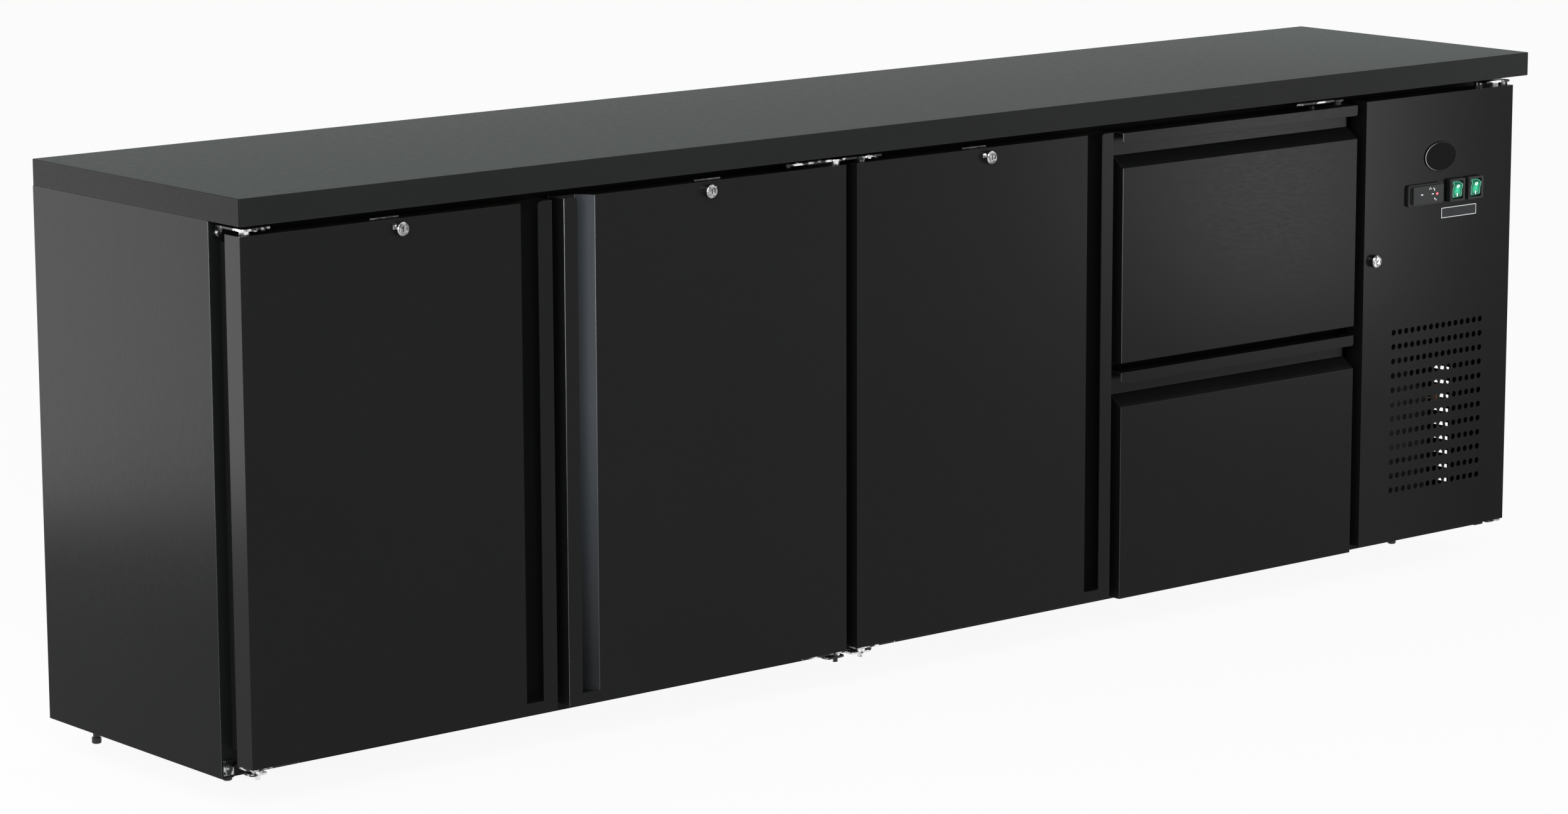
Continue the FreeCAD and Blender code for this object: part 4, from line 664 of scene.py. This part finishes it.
def rounded(x, z, width, height, radius, steps=6):
    """Outline of a rectangle with round corners."""
    points = []
    for corner, (sx, sz) in enumerate(((1, 1), (-1, 1), (-1, -1), (1, -1))):
        cx = x + sx * (width / 2 - radius)
        cz = z + sz * (height / 2 - radius)
        for n in range(steps + 1):
            turn = math.pi / 2 * (corner + n / steps)
            points.append((cx + radius * math.cos(turn), cz + radius * math.sin(turn)))
    return points


def oval(x, z, half_width, half_height, steps=72):
    """Outline of an ellipse."""
    turns = [2 * math.pi * n / steps for n in range(steps)]
    return [(x + half_width * math.cos(t), z + half_height * math.sin(t)) for t in turns]


# Section of a door seal: distance in from its outer edge and height off the door, as shares
SEAL_SECTION_SHARES = (
    (0.06, 0.0), (0.94, 0.0), (0.96, 0.05), (0.93, 0.09), (0.80, 0.13), (0.79, 0.18), (0.92, 0.25),
    (0.95, 0.31), (0.92, 0.37), (0.80, 0.44), (0.79, 0.48), (0.90, 0.52), (0.98, 0.56), (1.0, 0.62),
    (1.0, 0.90), (0.98, 0.96), (0.93, 1.0), (0.07, 1.0), (0.02, 0.96), (0.0, 0.90), (0.0, 0.62),
    (0.02, 0.56), (0.10, 0.52), (0.21, 0.48), (0.20, 0.44), (0.08, 0.37), (0.05, 0.31), (0.08, 0.25),
    (0.21, 0.18), (0.20, 0.13), (0.07, 0.09), (0.04, 0.05),
)
SEAL_WIDTH = 14.0 * MM


def make_seal(node, body):
    """Bellows seal with mitred corners."""
    low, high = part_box(node)
    rings = []
    for corner in ((0, 0), (1, 0), (1, 1), (0, 1)):
        ring = []
        for across, off in SEAL_SECTION_SHARES:
            inset = SEAL_WIDTH * across
            x = high.x - inset if corner[0] else low.x + inset
            z = high.z - inset if corner[1] else low.z + inset
            ring.append((x, low.y + (high.y - low.y) * off, z))
        rings.append(ring)
    shape = Shape()
    shape.rings(rings, closed=True)
    piece = shape.made(node + "_bellows", gasket, body)
    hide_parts(node)


for body in ("door_1", "door_2", "door_3", "drawer_upper", "drawer_lower"):
    make_seal(body + "_gasket", body)


PRINT_MOTTLE_SCALE = 900.0
PRINT_DARKEST = 0.88


def flat_material(name, colour, glow=0.0, roughness=0.4):
    """Printed or lit mark with a faint mottle."""
    n = Nodes(name)
    mottle = n.noise(PRINT_MOTTLE_SCALE)
    base = n.blend(n.spread(mottle, 0.0, 1.0), times(colour, PRINT_DARKEST), colour)
    n.link(base, n.shader.inputs["Base Color"])
    n.link(n.spread(mottle, roughness - 0.05, roughness + 0.05), n.shader.inputs["Roughness"])
    if glow:
        n.link(base, n.shader.inputs["Emission Color"])
        n.set(Emission_Strength=glow)
    return n.material


# The printed label outline also glows a little: painted light.
glowing_pale_print = flat_material("glowing_pale_print", shade(215, 220, 218), glow=0.25)
lit_white = flat_material("lit_white", (0.88, 0.94, 0.91, 1.0), glow=0.8, roughness=0.3)
red_light = flat_material("red_light", (0.90, 0.08, 0.12, 1.0), glow=1.4, roughness=0.2)
membrane = moulded("membrane", shade(42, 44, 45), (0.35, 0.45), texture=1200.0, specular=0.15)
label_base = moulded("label_base", shade(36, 38, 41), (0.35, 0.45), texture=1200.0, specular=0.15)


# Badge: a raised rim round the bare oval
badge_low, badge_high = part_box("badge")
badge_middle = (badge_low + badge_high) / 2
BADGE_RIM_DARK_AND_GLINT = (shade(34, 35, 35), shade(205, 208, 206))
BADGE_RIM_SPECK_SCALE = 400.0
BADGE_RIM_SPECK_REACH = 8.0 * MM
BADGE_RIM_INSET = 1.2 * MM
BADGE_RIM_RADIUS = 0.5 * MM


def rim_glint_material():
    """Rim with a painted glint: bright on the left, dark on the right, with specks along the border between."""
    n = Nodes("badge_edge")
    across = n.split(n.coordinates)["X"]
    specks = n.noise(BADGE_RIM_SPECK_SCALE, 3.0)
    side = n.maths("ADD", across, n.maths("MULTIPLY", specks, BADGE_RIM_SPECK_REACH))
    # Painted glint on the left part of the rim.
    lightened = n.spread(side, 1.0, 0.0, badge_low.x + 5.0 * MM, badge_middle.x - 4.0 * MM)
    base = n.blend(lightened, *BADGE_RIM_DARK_AND_GLINT)
    n.link(base, n.shader.inputs["Base Color"])
    n.link(n.spread(specks, 0.3, 0.45), n.shader.inputs["Roughness"])
    n.set(Specular_IOR_Level=0.2)
    return n.material


rim_outline = oval(
    badge_middle.x, badge_middle.z,
    (badge_high.x - badge_low.x) / 2 - BADGE_RIM_INSET, (badge_high.z - badge_low.z) / 2 - BADGE_RIM_INSET,
)
rim_shape = Shape()
rim_shape.tube([(x, badge_low.y, z) for x, z in rim_outline], BADGE_RIM_RADIUS, closed=True)
rim_shape.made("badge_rim", rim_glint_material(), "cover", smooth=True)


# Empty label under the switches: place, width and height
LABEL = (1114.5 * MM, 600.5 * MM, 83.5 * MM, 17.0 * MM)
LABEL_THICKNESS = 0.25 * MM
LABEL_CORNER = 1.0 * MM
LABEL_LINE = 1.0 * MM
LABEL_INNER_CORNER = 0.4 * MM
cover_front = cover_low.y
label_x, label_z, label_width, label_height = LABEL
label_outline = rounded(*LABEL, LABEL_CORNER)
label = Shape()
label.plate(label_outline, cover_front, cover_front - LABEL_THICKNESS, 0.05 * MM)
label.made("label_plate", label_base, "cover")
line = Shape()
line.band(
    label_outline,
    rounded(
        label_x, label_z, label_width - 2 * LABEL_LINE, label_height - 2 * LABEL_LINE,
        LABEL_INNER_CORNER,
    ),
    cover_front - LABEL_THICKNESS / 2, cover_front - LABEL_THICKNESS * 1.5,
)
line.made("label_outline", glowing_pale_print, "cover")


# Temperature controller: membrane (place, width and height), lamp and small marks
FACE = (1031.5 * MM, 636.0 * MM, 68.0 * MM, 26.0 * MM)
FACE_CORNER = 2.0 * MM
# Places from the membrane's middle, widths and heights of the marks, in millimetres
CONTROL_MARKS = (
    (-16.0, 1.0, 5.2, 1.2), (9.5, 0.5, 4.2, 1.2), (1.5, 8.8, 1.4, 1.4),
    (5.5, 9.2, 1.4, 1.4), (3.5, 11.0, 1.4, 1.4), (12.0, 9.4, 3.2, 1.1),
    (13.5, 6.5, 1.3, 2.4), (14.5, -7.6, 1.7, 2.4), (17.5, -10.0, 1.5, 1.7),
)
CONTROL_LAMP_ASIDE = 20.0 * MM
CONTROL_LAMP_SIZE = (2.6 * MM, 2.0 * MM)
face_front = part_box("temperature_controller")[0].y
face_x, face_z = FACE[:2]
shape = Shape()
shape.plate(rounded(*FACE, FACE_CORNER), face_front + 0.3 * MM, face_front - 0.15 * MM, 0.1 * MM)
shape.made("controller_membrane", membrane, "cover")
marks = Shape()
for mark in CONTROL_MARKS:
    x, z, width, height = (size * MM for size in mark)
    marks.plate(
        rounded(face_x + x, face_z + z, width, height, min(width, height) * 0.4, 3),
        face_front, face_front - 0.25 * MM,
    )
marks.made("controller_marks", lit_white, "cover")
lamp = Shape()
lamp.plate(
    oval(face_x + CONTROL_LAMP_ASIDE, face_z, *CONTROL_LAMP_SIZE, 24),
    face_front, face_front - 0.3 * MM, 0.2 * MM,
)
lamp.made("controller_lamp", red_light, "cover")


# Switches: raised rims round the rockers (width, height and corner), and the off and on marks
ROCKER_TILT = math.radians(7.0)
ROCKER_FACE = 9.5 * MM
ROCKER_SLOPE = 2.0 / 14.5
SWITCH_RIM_OUTER = (32.0 * MM, 33.6 * MM, 3.0 * MM)
SWITCH_RIM_INNER = (25.2 * MM, 30.4 * MM, 1.6 * MM)
SWITCH_RIM_SUNK = 0.5 * MM
SWITCH_RIM_PROUD = 0.6 * MM
MARK_HEIGHT = 0.15 * MM
OFF_MARK_PLACE = 7.5 * MM
OFF_MARK_OUTER = (3.1 * MM, 2.7 * MM)
OFF_MARK_INNER = (1.5 * MM, 1.2 * MM)
ON_MARK_PLACE = 7.0 * MM
ON_MARK_SIZE = (1.8 * MM, 5.4 * MM, 0.6 * MM)
switch_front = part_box("switch_housings")[0].y


def on_rocker(outline, off, side):
    """Outline across and along one half of a rocker's face, at a height off it."""
    return [(x, -(ROCKER_FACE + ROCKER_SLOPE * along) - off, side * along) for x, along in outline]


for number in ("1", "2"):
    pivot = joint_places["rocker_" + number + "_tilt"]
    turn = Matrix.Translation(pivot) @ Matrix.Rotation(ROCKER_TILT, 4, "X")
    rim = Shape()
    rim.band(
        rounded(pivot.x, pivot.z, *SWITCH_RIM_OUTER), rounded(pivot.x, pivot.z, *SWITCH_RIM_INNER),
        switch_front + SWITCH_RIM_SUNK, switch_front - SWITCH_RIM_PROUD,
    )
    rim.made("switch_" + number + "_rim", control_plastic, "cover")
    body = "rocker_" + number
    off_mark = Shape()
    outer = oval(0, OFF_MARK_PLACE, *OFF_MARK_OUTER, 28)
    inner = oval(0, OFF_MARK_PLACE, *OFF_MARK_INNER, 28)
    off_mark.rings([
        on_rocker(outer, 0, 1), on_rocker(outer, MARK_HEIGHT, 1),
        on_rocker(inner, MARK_HEIGHT, 1), on_rocker(inner, 0, 1),
    ], closed=True)
    off_mark.moved(turn)
    off_mark.made(body + "_off_mark", lit_white, body)
    on_mark = Shape()
    bar = rounded(0, ON_MARK_PLACE, *ON_MARK_SIZE, 3)
    on_mark.rings([on_rocker(bar, 0, -1), on_rocker(bar, MARK_HEIGHT, -1)], capped=True)
    on_mark.moved(turn)
    on_mark.made(body + "_on_mark", lit_white, body)


# Guard over the mouth of the evaporator's casing
fan_place = joint_places["evaporator_fan_spin"]
casing_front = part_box("evaporator_housing")[0].y
GUARD_WIRE = 1.1 * MM
GUARD_RADII = (22.0 * MM, 38.0 * MM, 54.0 * MM, 70.0 * MM)
GUARD_ARMS = 4
GUARD_ARM_START = 20.0 * MM
GUARD_ARM_END = 79.0 * MM
guard = Shape()
for radius in GUARD_RADII:
    circle = oval(fan_place.x, fan_place.z, radius, radius, 48)
    guard.tube(
        [(x, casing_front - GUARD_WIRE * 3, z) for x, z in circle], GUARD_WIRE, closed=True, sides=8
    )
for arm in range(GUARD_ARMS):
    turn = math.pi / 4 + arm * math.pi / 2
    reach = Vector((math.cos(turn), 0, math.sin(turn)))
    middle = Vector((fan_place.x, casing_front - GUARD_WIRE, fan_place.z))
    tip = middle + reach * GUARD_ARM_END
    foot = tip + Vector((0, GUARD_WIRE, 0))
    guard.tube([middle + reach * GUARD_ARM_START, tip, foot], GUARD_WIRE, sides=8)
guard.made("evaporator_guard", coated_wire, "cabinet", smooth=True)


# Weld seam round the compressor's can
can_low, can_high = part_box("compressor")
CAN_RADIUS = 64.0 * MM
SEAM_RADIUS = 1.6 * MM
seam_z = (can_low.z + can_high.z) / 2
seam_middle = ((can_low.x + can_high.x) / 2, can_high.y - CAN_RADIUS)
seam = Shape()
seam.tube(
    [(x, y, seam_z) for x, y in oval(*seam_middle, CAN_RADIUS, CAN_RADIUS, 64)],
    SEAM_RADIUS, closed=True, sides=8,
)
seam.made("compressor_seam", enamel, "cabinet", smooth=True)


# Terminal box on the condenser's shroud, with a lid and two screws
shroud_low, shroud_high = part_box("condenser_fan_motor")
TERMINAL_BOX_WIDTH = 84.0 * MM
TERMINAL_BOX_HEIGHT = 66.0 * MM
TERMINAL_BOX_CORNER = 5.0 * MM
LID_THICKNESS = 4.0 * MM
LID_OVERHANG = 4.0 * MM
LID_CORNER = 6.0 * MM
LID_EDGE = 1.5 * MM
LID_SCREW_REACH = 32.0 * MM
LID_SCREW_RADIUS = 3.0 * MM
terminal_x = shroud_high.x - TERMINAL_BOX_WIDTH / 2
terminal_z = shroud_high.z + TERMINAL_BOX_HEIGHT / 2
terminal_box = Shape()
terminal_box.plate(
    rounded(
        terminal_x, terminal_z, TERMINAL_BOX_WIDTH - LID_OVERHANG, TERMINAL_BOX_HEIGHT,
        TERMINAL_BOX_CORNER,
    ),
    shroud_high.y - 3.0 * MM, shroud_low.y + LID_THICKNESS, 0.5 * MM,
)
terminal_box.plate(
    rounded(terminal_x, terminal_z, TERMINAL_BOX_WIDTH, TERMINAL_BOX_HEIGHT, LID_CORNER),
    shroud_low.y + LID_THICKNESS, shroud_low.y, LID_EDGE,
)
terminal_box.made("terminal_box", fan_plastic, "cabinet")
lid_screws = Shape()
for side in (-1, 1):
    lid_screws.plate(
        oval(terminal_x + side * LID_SCREW_REACH, terminal_z, LID_SCREW_RADIUS, LID_SCREW_RADIUS, 24),
        shroud_low.y + 1.0 * MM, shroud_low.y - 1.5 * MM, 0.8 * MM,
    )
lid_screws.made("terminal_box_screws", plated, "cabinet")


# Pan-head rivets along the edges of the rear panel: radius and height of the head, from its rim
back_low, back_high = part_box("rear_panel")
RIVET_INSET = 18.0 * MM
RIVET_END_INSET = 40.0 * MM
RIVETS_ACROSS = 9
RIVET_PROFILE = ((3.4 * MM, 0.0), (2.8 * MM, 1.0 * MM), (1.6 * MM, 1.6 * MM), (0.2 * MM, 1.8 * MM))
rivets = Shape()


def add_rivet(x, z):
    """Low domed head on the rear panel."""
    rings = []
    for radius, height in RIVET_PROFILE:
        rings.append([(px, back_high.y + height, pz) for px, pz in oval(x, z, radius, radius, 20)])
    rivets.rings(rings, capped=True)


rivet_ends = (back_low.x + RIVET_END_INSET, back_high.x - RIVET_END_INSET)
for n in range(RIVETS_ACROSS):
    x = rivet_ends[0] + (rivet_ends[1] - rivet_ends[0]) * n / (RIVETS_ACROSS - 1)
    add_rivet(x, back_high.z - RIVET_INSET)
    add_rivet(x, back_low.z + RIVET_INSET)
for x in rivet_ends:
    for n in (1, 2):
        add_rivet(x, back_low.z + (back_high.z - back_low.z) * n / 3)
rivets.made("rear_rivets", plated, "cabinet", smooth=True)


# Rounded sheet edges on the CAD nodes, in millimetres
ROUNDED = {
    "worktop": 0.5, "side_panels": 0.4, "rear_panel": 0.3, "cover_panel": 0.4,
    "temperature_controller": 0.6, "switch_housings": 0.6, "hinge_brackets": 0.5,
    "front_frame": 0.8, "base_pan": 0.4,
    "door_1_shell": 0.4, "door_2_shell": 0.4, "door_3_shell": 0.4, "drawer_upper_shell": 0.4,
    "drawer_lower_shell": 0.4, "door_1_hinge_plates": 0.4, "door_2_hinge_plates": 0.4,
    "door_3_hinge_plates": 0.4, "door_1_liner": 1.2, "door_2_liner": 1.2, "door_3_liner": 1.2,
    "drawer_upper_box": 0.3, "drawer_lower_box": 0.3,
}
WELD_GAP = 0.002 * MM
FLAT_ANGLE = math.radians(0.5)
EDGE_ANGLE = math.radians(35.0)
for name, width in ROUNDED.items():
    node = nodes[name]
    weld = node.modifiers.new("weld", "WELD")
    weld.merge_threshold = WELD_GAP
    flat = node.modifiers.new("flat", "DECIMATE")
    flat.decimate_type = "DISSOLVE"
    flat.angle_limit = FLAT_ANGLE
    bevel = node.modifiers.new("edges", "BEVEL")
    bevel.width = width * MM
    bevel.segments = 2
    bevel.limit_method = "ANGLE"
    bevel.angle_limit = EDGE_ANGLE
    bevel.harden_normals = True


# Stage: soft boxes, world, floor and camera
def softbox(name, place, target, size, radiance):
    """Soft rectangular light that faces a target. It lights and reflects, and isn't seen itself."""
    data = bpy.data.lights.new(name, "AREA")
    data.shape = "RECTANGLE"
    data.size, data.size_y = size
    data.energy = radiance * math.pi * size[0] * size[1]
    box = bpy.data.objects.new(name, data)
    box.location = place
    box.rotation_euler = (Vector(target) - Vector(place)).to_track_quat("-Z", "Y").to_euler()
    box.visible_camera = False
    bpy.context.scene.collection.objects.link(box)


def make_world():
    """White to the camera and in reflections, dimmer as a light."""
    world = bpy.data.worlds.new("studio")
    bpy.context.scene.world = world
    world.use_nodes = True
    tree = world.node_tree
    tree.nodes.clear()
    path = tree.nodes.new("ShaderNodeLightPath")
    seen = path.outputs["Is Camera Ray"]
    for name in ("Is Glossy Ray", "Is Transmission Ray"):
        both = tree.nodes.new("ShaderNodeMath")
        both.operation = "MAXIMUM"
        tree.links.new(seen, both.inputs[0])
        tree.links.new(path.outputs[name], both.inputs[1])
        seen = both.outputs[0]
    strength = tree.nodes.new("ShaderNodeMapRange")
    strength.inputs["To Min"].default_value = WORLD_STRENGTH
    strength.inputs["To Max"].default_value = 1.0
    tree.links.new(seen, strength.inputs["Value"])
    background = tree.nodes.new("ShaderNodeBackground")
    background.inputs["Color"].default_value = (1, 1, 1, 1)
    tree.links.new(strength.outputs[0], background.inputs["Strength"])
    output = tree.nodes.new("ShaderNodeOutputWorld")
    tree.links.new(background.outputs[0], output.inputs["Surface"])


def make_floor():
    """Plain pale floor."""
    mesh = bpy.data.meshes.new("floor")
    reach = FLOOR_REACH
    corners = [(-reach, -reach, 0), (reach, -reach, 0), (reach, reach, 0), (-reach, reach, 0)]
    mesh.from_pydata(corners, [], [(0, 1, 2, 3)])
    floor = bpy.data.objects.new("floor", mesh)
    bpy.context.scene.collection.objects.link(floor)
    n = Nodes("floor")
    n.set(Base_Color=FLOOR_COLOUR, Roughness=FLOOR_ROUGHNESS, Specular_IOR_Level=0.0)
    glow = n.add("ShaderNodeEmission")
    both = n.add("ShaderNodeMixShader")
    path = n.add("ShaderNodeLightPath")
    seen = path.outputs["Is Camera Ray"]
    for name in ("Is Glossy Ray", "Is Transmission Ray"):
        seen = n.maths("MAXIMUM", seen, path.outputs[name])
    n.link(n.maths("MULTIPLY", seen, FLOOR_WHITE), both.inputs["Fac"])
    n.link(n.shader.outputs[0], both.inputs[1])
    n.link(glow.outputs[0], both.inputs[2])
    n.link(both.outputs[0], n.output.inputs["Surface"])
    mesh.materials.append(n.material)


def make_camera():
    """Camera at the photograph's viewing angle."""
    data = bpy.data.cameras.new("camera")
    data.sensor_width = SENSOR_WIDTH
    data.lens = CAMERA_FOCAL_PIXELS * SENSOR_WIDTH / PHOTO_SIZE[0]
    data.clip_end = CAMERA_REACH
    camera = bpy.data.objects.new("camera", data)
    turn = (
        Matrix.Rotation(-CAMERA_YAW, 4, "Z")
        @ Matrix.Rotation(math.pi / 2 + CAMERA_PITCH, 4, "X")
        @ Matrix.Rotation(CAMERA_ROLL, 4, "Z")
    )
    camera.matrix_world = Matrix.Translation(CAMERA_PLACE) @ turn
    bpy.context.scene.collection.objects.link(camera)
    bpy.context.scene.camera = camera


make_world()
make_floor()
make_camera()
for light in LIGHTS:
    softbox(*light)
bpy.context.scene.view_settings.view_transform = "Standard"
